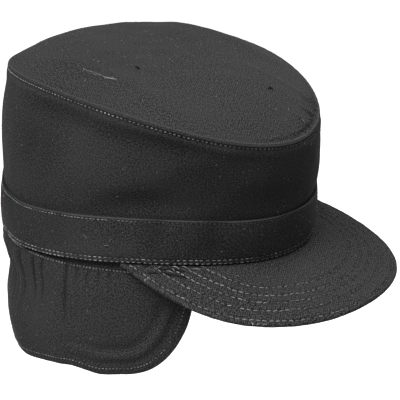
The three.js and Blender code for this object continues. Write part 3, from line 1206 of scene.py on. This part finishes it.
@dataclass(eq=False)
class EarFlap(RingPanel):
    """The ear flap, sewn inside the rim from temple to temple, gathered at the back, hemmed and hanging."""

    start: float = 42.0
    corner: float = 26.0
    front_drop: float = 12.0
    tuck: float = 7.0
    hem: float = 4.6
    row_width: float = 0.7
    # In degrees from the front: where the back's hang takes over from the ear's, where the folds
    # that follow the lobe die away, and where the gathers at the back begin.
    back_from: tuple[float, float] = (80.0, 122.0)
    lobe_until: tuple[float, float] = (74.0, 98.0)
    gathered_from: tuple[float, float] = (112.0, 122.0)
    name = "hanging_flap"
    slot = Slot.FLAP
    thickness = 2.4
    furrow_shade = 0.85
    hills = ((0.5, 42.0, 53), (0.15, 14.0, 54))
    lower_edge = Table(
        ("angle", "drop"),
        ((68, 74), (77, 75), (87, 72), (95, 72.5), (108, 74), (122, 76), (140, 77), (160, 74), (180, 72)),
    )
    profile = Table(
        ("drop", "ear", "back"),
        (
            (-7, 4.5, 4.5), (0, 4.5, 4.2), (4, 4.5, 1.2), (8, 4.0, 0.4), (14, 2.8, 1.8), (21, 2.2, 3.9),
            (29, 2.0, 4.4), (38, 2.0, 2.9), (47, 2.2, 1.0), (57, 2.8, 0.4), (66, 4.0, 1.2),
            (75, 6.0, 3.8),
        ),
    )
    row_drops = Table(
        ("angle", "drop"),
        ((60, 7.6), (75, 6.6), (85, 5.8), (96, 4.4), (108, 3.0), (125, 2.6), (180, 2.6)),
    )
    # In from the edge, the place, width and height of each fold that follows the lobe.
    lobe_folds = ((8.4, 2.0, -0.6), (12.6, 2.4, 0.5), (17.6, 3.0, -0.9))
    # The folds that the gathered top makes. They run down from `top` to `foot`.
    gathers = Table(
        ("angle", "turn", "depth", "top", "foot"),
        (
            (-113.5, 1.1, 0.75, 4, 42), (-105.2, 0.9, 0.9, 4, 38), (-100.4, 0.8, 0.8, 4, 38),
            (-89.0, 0.8, 0.8, 4, 50), (-84.6, 0.8, 0.6, 6, 20), (-80.2, 0.8, 0.7, 7, 19),
            (-75.9, 0.8, 0.6, 7, 19), (-71.8, 0.8, 0.6, 7, 19), (74.0, 1.1, 0.5, 7, 17),
            (82.5, 1.2, 0.6, 6, 20), (91.0, 0.9, 0.8, 4, 46), (99.0, 0.9, 0.8, 4, 38),
            (106.5, 0.9, 0.9, 4, 42), (114.0, 1.1, 0.8, 4, 36),
        ),
    )

    def front(self, angle: Array) -> Array:
        """An angle's distance from the front, in degrees, on either side."""
        return np.abs(turned(angle, 0.0))

    def drop(self, angle: Array) -> Array:
        """How far the lower edge hangs: a quarter of an ellipse round the lobe, then the table.

        Args:
            angle: angles from the front, in radians.

        Returns:
            Drops in millimetres.
        """
        place = self.front(angle)
        share = np.clip((place - self.start) / self.corner, 0.0, 1.0)
        lobe = self.lower_edge.rows[0][1] - self.front_drop
        rounded = self.front_drop + lobe * np.sqrt(np.maximum(1.0 - (1.0 - share) ** 2, 0.0))
        return np.where(share < 1.0, rounded, self.lower_edge.read("angle", "drop", place))

    def depth(self, angle: Array, v: Array) -> Array:
        """How far below the rim a place is: v times the drop, or above 0 the tuck."""
        return np.where(v < 0.0, v * self.tuck, v * self.drop(angle))

    def form(self, u: Array, v: Array) -> Array:
        """The flap: the rim's oval lowered by its depth and drawn in by the hang at the ears and the back.

        Args:
            u: angle from the front.
            v: share of the drop, and -1 at the top of the tuck.

        Returns:
            Places in millimetres.
        """
        u, v = paired(u, v)
        down = self.depth(u, v)
        back = rise(self.front(u), *self.back_from)
        ear = self.profile.read("drop", "ear", down)
        hang = ear + (self.profile.read("drop", "back", down) - ear) * back
        return self.cap.rim.at(u, self.cap.rim_level(u) - down, hang)

    def unrolled(self, angle: Array, down: Array) -> Array:
        """Places on the unrolled cloth: lengths round the rim from the front, and drops."""
        return np.stack([np.radians(self.front(angle)) * self.cap.girth, down], axis=-1)

    def edge_line(self) -> Array:
        """The flap's edge on the unrolled cloth, from the tuck down the front edge and round to the back.

        Returns:
            Lengths round the rim and drops, in millimetres.
        """
        lobe = self.start + self.corner * np.linspace(0, 1, 260) ** 2
        angles = np.append(lobe, np.linspace(68.2, 186, 300))
        drops = self.drop(np.radians(angles))
        front = np.linspace(-self.tuck, self.front_drop, 40)
        lengths = np.radians(np.concatenate([np.full(40, self.start), angles])) * self.cap.girth
        return np.stack([lengths, np.concatenate([front, drops])], axis=-1)

    def relief(self, u: Array, v: Array) -> Array:
        """The hem, two soft folds that follow the lobe, the gathers, the row at the top and soft hills.

        Args:
            u: angle from the front.
            v: share of the drop.

        Returns:
            Heights in millimetres.
        """
        u, v = paired(u, v)
        down, place = self.depth(u, v), self.front(u)
        inward = away_from(self.unrolled(u, down), self.edge_line())
        lobe = 1.0 - rise(place, *self.lobe_until)
        height = 0.35 * (1.0 - rise(inward, self.hem, self.hem + 1.6)) + self.furrows(u, v)
        folds = sum(high * bell(inward - at, width) for at, width, high in self.lobe_folds)
        height = height + folds * lobe * rise(down, 20.0, 34.0)
        along = np.radians(turned(u, 180.0)) * self.cap.girth
        gathered = rise(place, *self.gathered_from) * rise(down, 1.0, 6.0) * (1.0 - rise(down, 26.0, 52.0))
        height = height + 0.5 * gathered * puckers(along, 9.5, 51)
        row = self.row_drops.read("angle", "drop", place)
        height = height - 0.7 * (1.0 - rise(down, row - 2.2, row - 0.4))
        height = height + 0.12 * puckers(along, 6.0, 52) * bell(inward - self.hem, 4.0)
        return np.where(v < 0.0, -0.6, height + self.swells(self.form(u, v)) * rise(down, 4.0, 16.0))

    def furrows(self, u: Array, v: Array) -> Array:
        """The gathers and pleats under the top row, and a furrow along each row of stitching.

        Args:
            u: angle from the front.
            v: share of the drop.

        Returns:
            Heights in millimetres.
        """
        u, v = paired(u, v)
        down, place = self.depth(u, v), self.front(u)
        inward = away_from(self.unrolled(u, down), self.edge_line())
        row = self.row_drops.read("angle", "drop", place)
        height = -0.3 * bell(inward - self.hem, self.row_width) - 0.35 * bell(down - row, self.row_width)
        for at, turn, deep, top, foot in self.gathers.rows:
            window = rise(down, top - 2.0, top + 3.0) * (1.0 - rise(down, foot * 0.5, foot))
            height = height - 0.85 * deep * bell(turned(u, at - (down - 10.0) * 0.03), turn) * window
        return np.where(v < 0.0, 0.0, height)

    def rub_and_painted_light(self, u: Array, v: Array) -> Array:
        """Not rubbed; darker behind the right temple, which is painted shade."""
        return -0.36 * bell(turned(u, -122.0), 18.0) + 0.0 * v

    def flat(self, u: Array, v: Array) -> Array:
        """The flap is cut flat as one strip, with its weave upright."""
        return np.stack(np.broadcast_arrays(u * self.cap.girth, self.depth(u, v)), axis=-1)

    def columns(self) -> Array:
        """The angles of the mesh's columns, closer round the front corners, in radians."""
        lobe = self.start + self.corner * np.linspace(0.0, 1.0, 90) ** 1.7
        first, end = np.radians(lobe), np.radians(360.0 - lobe[::-1])
        return np.concatenate([first, np.linspace(first[-1], end[0], 560)[1:-1], end])

    def mesh(self) -> bpy.types.Object:
        """Makes the flap."""
        u = self.columns()
        tuck = (-1.0, -0.5, 2)
        v, v_in = steps(tuck, (0.0, 0.25, 24), (0.26, 0.985, 62)), steps(tuck, (0.0, 0.985, 22))
        piece = self.sewn(u, v, v_in, closed=False)
        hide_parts("ear_flap")
        return piece

    def flat_size(self) -> tuple[float, float]:
        """The rectangle that the flap is cut from, in metres: its length round the rim, and its height."""
        length = (2.0 * np.pi - 2.0 * np.radians(self.start)) * self.cap.girth
        return length * MM, (self.tuck + float(self.lower_edge.column("drop").max())) * MM

    def flat_area(self) -> float:
        """The cut's area in square metres: its length times the mean of drop and tuck."""
        angle = np.radians(np.linspace(self.start, 360.0 - self.start, 2001))
        return self.flat_size()[0] * float(np.mean(self.drop(angle) + self.tuck)) * MM

    def hem_line(self) -> tuple[Array, Array]:
        """Finds where the hem's stitches run, a fixed way in from the edge on the unrolled cloth.

        Returns:
            The line's u and v, from one front edge round the back to the other.
        """
        edge = self.edge_line()
        heading = unit(np.gradient(edge, axis=0))
        inner = edge + np.stack([heading[:, 1], -heading[:, 0]], axis=-1) * self.hem
        angle = inner[:, 0] / self.cap.girth
        keep = (inner[:, 1] > 9.0) & (angle < np.pi)
        angle, down = angle[keep], inner[keep, 1]
        angle = np.concatenate([angle, 2.0 * np.pi - angle[::-1]])
        down = np.concatenate([down, down[::-1]])
        return angle, down / self.drop(angle)


# Stitches, lint and loose threads

UNEVEN = 0.05  # how far a stitch strays along its row, as a share of the pitch
LENGTHS = (0.88, 1.1)  # the shortest and longest stitch, as shares of the usual one
ASKEW = 0.07  # how far a stitch's cross-section leans
ROOT_ROW_END = 0.55  # how far to both sides, as u, the row by the band shows on the peak


@dataclass(frozen=True)
class StitchRow:
    """A row of stitches along a line on a panel, with its pitch and thread in millimetres."""

    name: str
    pitch: float
    fill: float = 0.68  # of the pitch
    thread: float = 0.3  # its radius
    seed: int = 1
    # The axis along which the thread turns from painted shade to lit, and where it starts and ends to.
    toward_light: tuple[int, float, float] = (1, 0.0, 0.0)
    shade_depth: float = 0.92
    rise_over: float = 0.12  # the middle of the thread over the cloth outside
    rise_under: float = 0.1

    def capsule(self) -> tuple[Array, Array]:
        """One stitch, 1 long and 1 in radius: a six-sided tube, bowed up, that thins at both ends.

        Returns:
            Its vertices, along, beside and above the line, and its quads.
        """
        along = np.array([-0.5, -0.42, -0.2, 0.2, 0.42, 0.5])
        radius = np.array([0.12, 0.7, 1.0, 1.0, 0.7, 0.12])
        turn = np.arange(6) * np.pi / 3.0
        ring = np.stack([np.cos(turn), np.sin(turn)], axis=-1)
        sides = ring[None] * radius[:, None, None]
        sides[..., 1] += (1.0 - (along / 0.5) ** 2)[:, None] * 0.7 - 0.5
        points = np.concatenate([np.broadcast_to(along[:, None, None], (6, 6, 1)), sides], axis=-1)
        return points.reshape(-1, 3), grid_faces(6, 6, False, True)

    def sew(self, lines: list[tuple[Array, Array]]) -> tuple[Array, list[list[int]]]:
        """Lays stitches a pitch apart along lines.

        Args:
            lines: for each row, its points and its outward directions.

        Returns:
            All the stitches' vertices and faces.
        """
        shape, quads = self.capsule()
        caps = np.array([[0, 5, 4, 3, 2, 1], [30, 31, 32, 33, 34, 35]])
        rng = np.random.default_rng(self.seed)
        points, faces, start = [], [], 0
        for path, outward in lines:
            length = np.append(0.0, np.cumsum(np.linalg.norm(np.diff(path, axis=0), axis=1)))
            count = int(length[-1] / self.pitch)
            middle = (np.arange(count) + 0.5) * self.pitch + rng.normal(0.0, UNEVEN * self.pitch, count)
            half = self.pitch * self.fill / 2.0 * rng.uniform(*LENGTHS, count)

            def place(at: Array, values: Array) -> Array:
                """The line's values at lengths along it."""
                return np.stack([np.interp(at, length, values[:, k]) for k in range(3)], axis=-1)

            back, ahead = place(middle - half, path), place(middle + half, path)
            along = unit(ahead - back)
            up = unit(place(middle, outward))
            beside = unit(np.cross(up, along))
            beside = unit(beside + along * rng.normal(0.0, ASKEW, (count, 1)))
            up = np.cross(along, beside)
            size = np.stack([half * 2.0, np.full(count, self.thread), np.full(count, self.thread)], axis=-1)
            axes = np.stack([along, beside, up], axis=1) * size[..., None]
            laid = (back + ahead)[:, None] / 2.0 + np.einsum("mk,nkx->nmx", shape, axes)
            points.append(laid.reshape(-1, 3))
            number = start + np.arange(count)[:, None, None] * len(shape)
            faces += (number + quads).reshape(-1, 4).tolist() + (number + caps).reshape(-1, 6).tolist()
            start += count * len(shape)
        return np.concatenate(points), faces

    def mesh(self, panel: Panel, lines: list[tuple[Array, Array]], under: bool = False) -> bpy.types.Object:
        """Sews rows on a panel, each along the u and v that it is given.

        Args:
            panel: the panel.
            lines: the u and v of each row.
            under: whether the rows show on the panel's inner face.

        Returns:
            The piece.
        """
        laid = []
        for u, v in lines:
            up = panel.normal(u, v)
            if under:
                laid.append((panel.inside(u, v) - up * self.rise_under, -up))
            else:
                laid.append((panel.outside(u, v, self.rise_over), up))
        points, faces = self.sew(laid)
        piece = mesh_object(self.name, points, faces)
        # Painted shade: the thread is darkened along an axis, fully at one end and not at the other.
        axis, in_shade, toward_light = self.toward_light
        if in_shade != toward_light:
            paint(piece, points[:, :2], self.shade_depth * (1.0 - rise(points[:, axis], in_shade, toward_light)))
        return piece


@dataclass(frozen=True)
class Lint:
    """Pale fluff and fibres that cling to the cloth: short bent hairs, some lying alone and some together."""

    name: str
    found: tuple[tuple[float, ...], ...]  # u and v, and length and radius in millimetres
    strewn: int = 0
    u_range: tuple[float, float] = (0.0, 2.0 * np.pi)
    v_range: tuple[float, float] = (0.0, 1.0)
    in_degrees: bool = True
    seed: int = 71
    shortest: float = 0.5  # of the strewn hairs, and how much longer the longest is
    longer: float = 1.1
    radii: tuple[float, float] = (0.06, 0.18)
    rise_over: float = 0.1

    def mesh(self, panel: Panel) -> bpy.types.Object:
        """Lays the named fibres on a panel, and strews more over it at random.

        Args:
            panel: the panel.

        Returns:
            The piece.
        """
        rng = np.random.default_rng(self.seed + 1)
        rows = np.array(self.found).reshape(-1, 4)
        named = np.radians(rows[:, 0]) if self.in_degrees else rows[:, 0]
        u = np.append(named, rng.uniform(*self.u_range, self.strewn))
        v = np.append(rows[:, 1], rng.uniform(*self.v_range, self.strewn))
        length = np.append(rows[:, 2], self.shortest + self.longer * rng.random(self.strewn) ** 3)
        radius = np.append(rows[:, 3], rng.uniform(*self.radii, self.strewn))
        roots = panel.outside(u, v, self.rise_over)
        points, faces = self.hairs(roots, panel.normal(u, v), length, radius)
        return mesh_object(self.name, points, faces)

    def hairs(self, roots: Array, up: Array, length: Array, radius: Array) -> tuple[Array, list[list[int]]]:
        """Lays bent hairs on the cloth: four-sided tubes along a parabola, in a random direction.

        Args:
            roots: the middle of each hair.
            up: the cloth's outward direction there.
            length: each hair's length.
            radius: each hair's radius.

        Returns:
            The hairs' vertices and faces.
        """
        rng = np.random.default_rng(self.seed)
        count = len(roots)
        along = unit(np.cross(up, rng.normal(size=(count, 3))))
        side = np.cross(up, along)
        t = np.linspace(-0.5, 0.5, 6)[None, :, None]
        bend = rng.uniform(-0.8, 0.8, (count, 1, 1))
        spine = roots[:, None] + length[:, None, None] * (
            along[:, None] * t + side[:, None] * bend * t**2 + up[:, None] * (0.12 - 0.3 * t**2)
        )
        turn = np.arange(4) * np.pi / 2.0
        thin = radius[:, None] * np.array([0.3, 0.9, 1.0, 1.0, 0.9, 0.3])
        ring = np.cos(turn)[:, None] * side[:, None, None] + np.sin(turn)[:, None] * up[:, None, None]
        points = spine[:, :, None] + ring * thin[:, :, None, None]
        number = np.arange(count)[:, None, None] * 24
        quads = (number + grid_faces(6, 4, False, True)).reshape(-1, 4).tolist()
        caps = (number + np.array([[0, 3, 2, 1], [20, 21, 22, 23]])).reshape(-1, 4).tolist()
        return points.reshape(-1, 3), quads + caps


@dataclass(frozen=True)
class Dust:
    """All the lint on the cap, and the loose ends of thread along the peak's near end."""

    top = Lint(
        "top_lint",
        (
            (169.4, 0.975, 1.4, 0.25), (-101.4, 0.596, 1.2, 0.24), (-69.9, 0.802, 1.2, 0.24),
            (1.3, 0.552, 1.2, 0.22), (-26.2, 0.648, 1.3, 0.22), (4.6, 0.8, 1.6, 0.2),
            (-96.5, 0.748, 3.0, 0.16), (-81.0, 0.722, 3.0, 0.26), (-79.4, 0.726, 2.4, 0.26),
            (-12.0, 0.955, 5.0, 0.1), (11.0, 0.94, 4.0, 0.1),
        ),
        300,
        v_range=(0.1, 0.97),
        seed=71,
    )
    specks = Lint("dark_specks", ((-74.7, 0.485, 4.4, 0.7), (19.5, 0.7, 3.2, 0.7)), seed=72)
    side = Lint(
        "side_lint",
        (
            (2.1, 0.94, 1.0, 0.26), (-27.8, 0.653, 1.0, 0.22), (-88.7, 0.66, 1.0, 0.18),
            (-104.2, 0.487, 0.9, 0.18),
        ),
        230,
        v_range=(0.03, 0.95),
        seed=73,
    )
    band = Lint(
        "band_lint",
        (
            (-72.1, 10.7, 3.8, 0.26), (-71.0, 13.4, 2.8, 0.22), (-79.7, 14.9, 3.2, 0.2),
            (-94.8, 26.0, 1.2, 0.25),
        ),
        260,
        v_range=(3.0, 25.0),
        seed=74,
    )
    peak = Lint("peak_lint", (), 260, u_range=(-0.95, 0.95), v_range=(0.05, 0.96), in_degrees=False, seed=75)
    flap = Lint("flap_lint", ((-80.0, 0.44, 1.8, 0.2),), 420, (0.85, 5.43), (0.1, 0.93), seed=76)
    ends = Lint(
        "loose_threads",
        (
            (-0.915, 0.96, 3.2, 0.25), (-0.873, 0.667, 4.0, 0.25), (-0.9, 0.8, 3.4, 0.24),
            (-0.92, 0.36, 4.0, 0.26), (-0.882, 0.345, 5.0, 0.24), (-0.85, 0.25, 4.5, 0.22),
            (-0.818, 0.175, 6.0, 0.24), (-0.772, 0.247, 5.0, 0.22), (-0.735, 0.125, 5.5, 0.24),
            (-0.69, 0.1, 6.5, 0.26), (-0.66, 0.16, 5.0, 0.22), (-0.635, 0.135, 5.0, 0.24),
            (-0.583, 0.088, 4.0, 0.2), (-0.512, 1.0, 3.4, 0.32), (-0.49, 1.0, 2.8, 0.32),
            (-0.47, 1.0, 3.0, 0.3),
        ),
        in_degrees=False,
        seed=77,
    )


# The studio


@dataclass(frozen=True)
class Studio:
    """A light table well below the cap, three soft lamps, a pale sky and the camera: metres and degrees."""

    floor_level: float = -0.42
    floor_half: float = 30.0
    azimuth: float = -49.63
    elevation: float = 22.5
    distance: float = 0.9
    view_width: float = 0.2468  # of the picture, at the cap's origin
    aim_right: float = 0.0257  # from the cap's origin to the middle of the picture
    aim_up: float = 0.0078
    lamp_distance: float = 1.5
    lamp_size: float = 0.9
    sensor: float = 36.0  # millimetres
    sight: tuple[float, float] = (0.05, 80.0)  # the nearest and farthest that the camera sees
    # Each lamp's name, how far round from the camera and how high it stands, and its watts.
    lamps: tuple[tuple[str, float, float, float], ...] = (
        ("front_lamp", -20.0, 50.0, 8.2),
        ("side_lamp", -58.0, 50.0, 9.5),
        ("far_lamp", 150.0, 30.0, 7.0),
    )
    # The sky's light from straight below (0) to straight above (1).
    sky: tuple[tuple[float, float], ...] = ((0.0, 0.05), (0.5, 0.08), (0.75, 0.14), (1.0, 0.2))

    def towards(self, azimuth: float, elevation: float) -> Vector:
        """The direction at an azimuth from the front and an elevation, in degrees."""
        az, el = np.radians(azimuth), np.radians(elevation)
        return Vector((np.sin(az) * np.cos(el), -np.cos(az) * np.cos(el), np.sin(el)))

    def axes(self) -> tuple[Vector, Vector, Vector]:
        """The directions towards the camera, to its right and up."""
        back = self.towards(self.azimuth, self.elevation)
        right = self.towards(self.azimuth + 90.0, 0.0)
        return back, right, back.cross(right)

    def floor(self, finish: LightTable) -> None:
        """Lays the floor, a square that faces up.

        Args:
            finish: the floor's finish.
        """
        corners = np.array([[-1, -1, 0], [1, -1, 0], [1, 1, 0], [-1, 1, 0]]) * self.floor_half
        corners[:, 2] = self.floor_level
        ground = mesh_object("light_table", corners / MM, [[0, 1, 2, 3]])
        ground.data.materials.append(finish.material())
        ground.visible_diffuse = False

    def lamp(self, name: str, place: Vector, watts: float) -> None:
        """Hangs a soft square lamp that looks at the cap.

        Args:
            name: the lamp's name.
            place: where it hangs.
            watts: its power.
        """
        data = bpy.data.lights.new(name, "AREA")
        data.size, data.energy = self.lamp_size, watts
        lamp = bpy.data.objects.new(name, data)
        lamp.location = place
        lamp.rotation_mode = "QUATERNION"
        lamp.rotation_quaternion = (-place).to_track_quat("-Z", "Y")
        bpy.context.scene.collection.objects.link(lamp)

    def lights(self) -> None:
        """Hangs the lamps, and sets a pale sky that is brighter overhead."""
        for name, turn, height, watts in self.lamps:
            self.lamp(name, self.towards(self.azimuth + turn, height) * self.lamp_distance, watts)
        world = bpy.data.worlds.new("pale_studio")
        bpy.context.scene.world = world
        world.use_nodes = True
        tree = world.node_tree
        across = add_node(tree, "ShaderNodeTexCoord", {}).outputs["Generated"]
        up = add_node(tree, "ShaderNodeSeparateXYZ", {0: across}).outputs["Z"]
        level = add_node(tree, "ShaderNodeMapRange", {0: up, "From Min": -1.0, "From Max": 1.0}).outputs[0]
        tints = {place: (light, light, light, 1.0) for place, light in self.sky}
        sky = add_node(tree, "ShaderNodeValToRGB", {0: level}, tints).outputs["Color"]
        tree.links.new(sky, tree.nodes["Background"].inputs["Color"])

    def camera(self) -> None:
        """Sets the camera at the photograph's angle, with its picture's middle beside the cap's origin."""
        back, right, up = self.axes()
        data = bpy.data.cameras.new("camera")
        data.sensor_width = self.sensor
        data.lens = self.sensor * self.distance / self.view_width
        data.clip_start, data.clip_end = self.sight
        camera = bpy.data.objects.new("camera", data)
        place = back * self.distance
        ahead = (right * self.aim_right + up * self.aim_up - place).normalized()
        across = ahead.cross(up).normalized()
        turn = Matrix([across, across.cross(ahead), -ahead]).transposed()
        camera.location = place
        camera.rotation_mode = "QUATERNION"
        camera.rotation_quaternion = turn.to_quaternion()
        bpy.context.scene.collection.objects.link(camera)
        bpy.context.scene.camera = camera
        bpy.context.scene.view_settings.view_transform = "Standard"


# The whole


def sew_rows(top: CrownTop, side: CrownSide, band: HeadBand, peak: Peak, flap: EarFlap, thread: Yarn) -> list:
    """Sews every row of stitching on the panels, and the peak's and the hem's rows on the other face too.

    Args:
        top: the top panel.
        side: the side panel.
        band: the band.
        peak: the peak.
        flap: the ear flap.
        thread: the thread's finish.

    Returns:
        The pieces that lie on the ear flap.
    """
    ring = np.linspace(-np.pi, np.pi, 1401)  # closer than the stitches
    *at_rim, upper = [(ring, np.full(ring.size, height)) for height in band.rows_up]
    quilted = [peak.row(inward) for inward in peak.rows_in]
    u, v = peak.row(peak.row_from_band, from_root=True)
    root = (u[np.abs(u) < ROOT_ROW_END], v[np.abs(u) < ROOT_ROW_END])
    share = np.linspace(0.0, 1.0, 80)
    stray = [
        (np.radians(-98.0 + 19.0 * share), 0.733 + 0.004 * np.sin(11.0 * share)),
        (np.radians(-91.0 + 11.5 * share), 0.742 - 0.014 * share + 0.004 * np.sin(14.0 * share)),
    ]
    hem = flap.hem_line()
    angle = np.radians(np.linspace(flap.start + 2.5, 360.0 - flap.start - 2.5, 1200))
    gather = (angle, flap.row_drops.read("angle", "drop", flap.front(angle)) / flap.drop(angle))
    whole_row_shaded = (1, 400.0, 500.0)  # so far behind the cap that the whole row gets the painted shade
    seam = (ring, 1.0 - side.row_below_seam / side.cap.side_height(ring))
    # A row has a name, a pitch, how much of it a stitch fills, a thread, a seed and where it comes out of its
    # painted shade.
    sewn = (
        (side, StitchRow("seam_stitches", 2.6, 0.55, 0.36, 61, (1, -108.0, -40.0)).mesh(side, [seam])),
        (band, StitchRow("fold_stitches", 2.6, 0.68, 0.25, 62, (1, -75.0, -10.0)).mesh(band, [upper])),
        (band, StitchRow("rim_stitches", 3.3, 0.68, 0.32, 63, (1, -150.0, -40.0)).mesh(band, at_rim)),
        (peak, StitchRow("peak_stitches", 3.7, 0.74, 0.32, 64, (0, 14.0, -54.0)).mesh(peak, quilted)),
        (peak, StitchRow("root_stitches", 3.4, 0.6, 0.24, 69, whole_row_shaded).mesh(peak, [root])),
        (peak, StitchRow("peak_under_stitches", 3.7, 0.7, 0.28, 67).mesh(peak, quilted, under=True)),
        (peak, Dust.ends.mesh(peak)),
        (top, StitchRow("stray_thread", 1.5, 0.94, 0.2, 78).mesh(top, stray)),
        (flap, StitchRow("hem_stitches", 2.3, 0.52, 0.28, 65, (2, -92.0, -70.0)).mesh(flap, [hem])),
        (flap, StitchRow("hem_inner_stitches", 2.3, 0.52, 0.27, 68).mesh(flap, [hem], under=True)),
        (flap, StitchRow("gather_stitches", 2.2, 0.56, 0.52, 66).mesh(flap, [gather])),
    )
    material = thread.material()
    for panel, piece in sewn:
        sew_on(piece, material)
    return [piece for panel, piece in sewn if panel is flap]


def main() -> None:
    """Sets up the studio, and builds the panels in order and then their stitching and the lint."""
    logging.basicConfig(level=logging.INFO, format="%(name)s %(message)s")
    studio = Studio()
    studio.camera()
    studio.lights()
    studio.floor(LightTable("opal_acrylic", "#fafafa", "#f4f4f4"))
    cap = CapForm()
    top, side, band = CrownTop(cap), CrownSide(cap), HeadBand(cap)
    peak, flap = Peak(cap), EarFlap(cap)
    finishes = {
        Slot.TOP: Twill(
            "faded_black_cotton_twill_top", "#3b3b3c", "#464647", "#6c6c6c", relief=0.4, grain=1.5
        ),
        Slot.SIDE: Twill("black_cotton_twill_side", "#2f2f30", "#3e3e3f", "#666666", relief=0.4, grain=1.5),
        Slot.BAND: Twill("black_cotton_twill_band", "#363637", "#454546", "#6a6a6a", relief=0.3, grain=1.3),
        Slot.PEAK: Twill(
            "faded_black_cotton_twill_peak", "#3d3d3e", "#4a4a4b", "#666666", relief=0.6, grain=2.1
        ),
        Slot.FLAP: Twill("black_cotton_twill_flap", "#414142", "#4b4b4c", "#606060", relief=0.4, grain=1.35),
    }
    panels = {
        panel: sew_on(panel.mesh(), finishes[panel.slot].material())
        for panel in (top, side, band, peak, flap)
    }
    on_flap = sew_rows(top, side, band, peak, flap, Yarn("spun_cotton_thread", "#b8b8b8", "#585858"))
    fluff = Yarn("cotton_lint", "#a0a0a0", "#606060", mottle=3.0).material()
    dark = Yarn("dark_wool_fluff", "#0c0c0c", "#060606").material()
    sew_on(Dust.specks.mesh(top), dark)
    for lint, panel in ((Dust.top, top), (Dust.side, side), (Dust.band, band), (Dust.peak, peak)):
        sew_on(lint.mesh(panel), fluff)
    on_flap.append(sew_on(Dust.flap.mesh(flap), fluff))
    flap.flat_size()
    flap.flat_area()


if __name__ == "__main__":
    main()
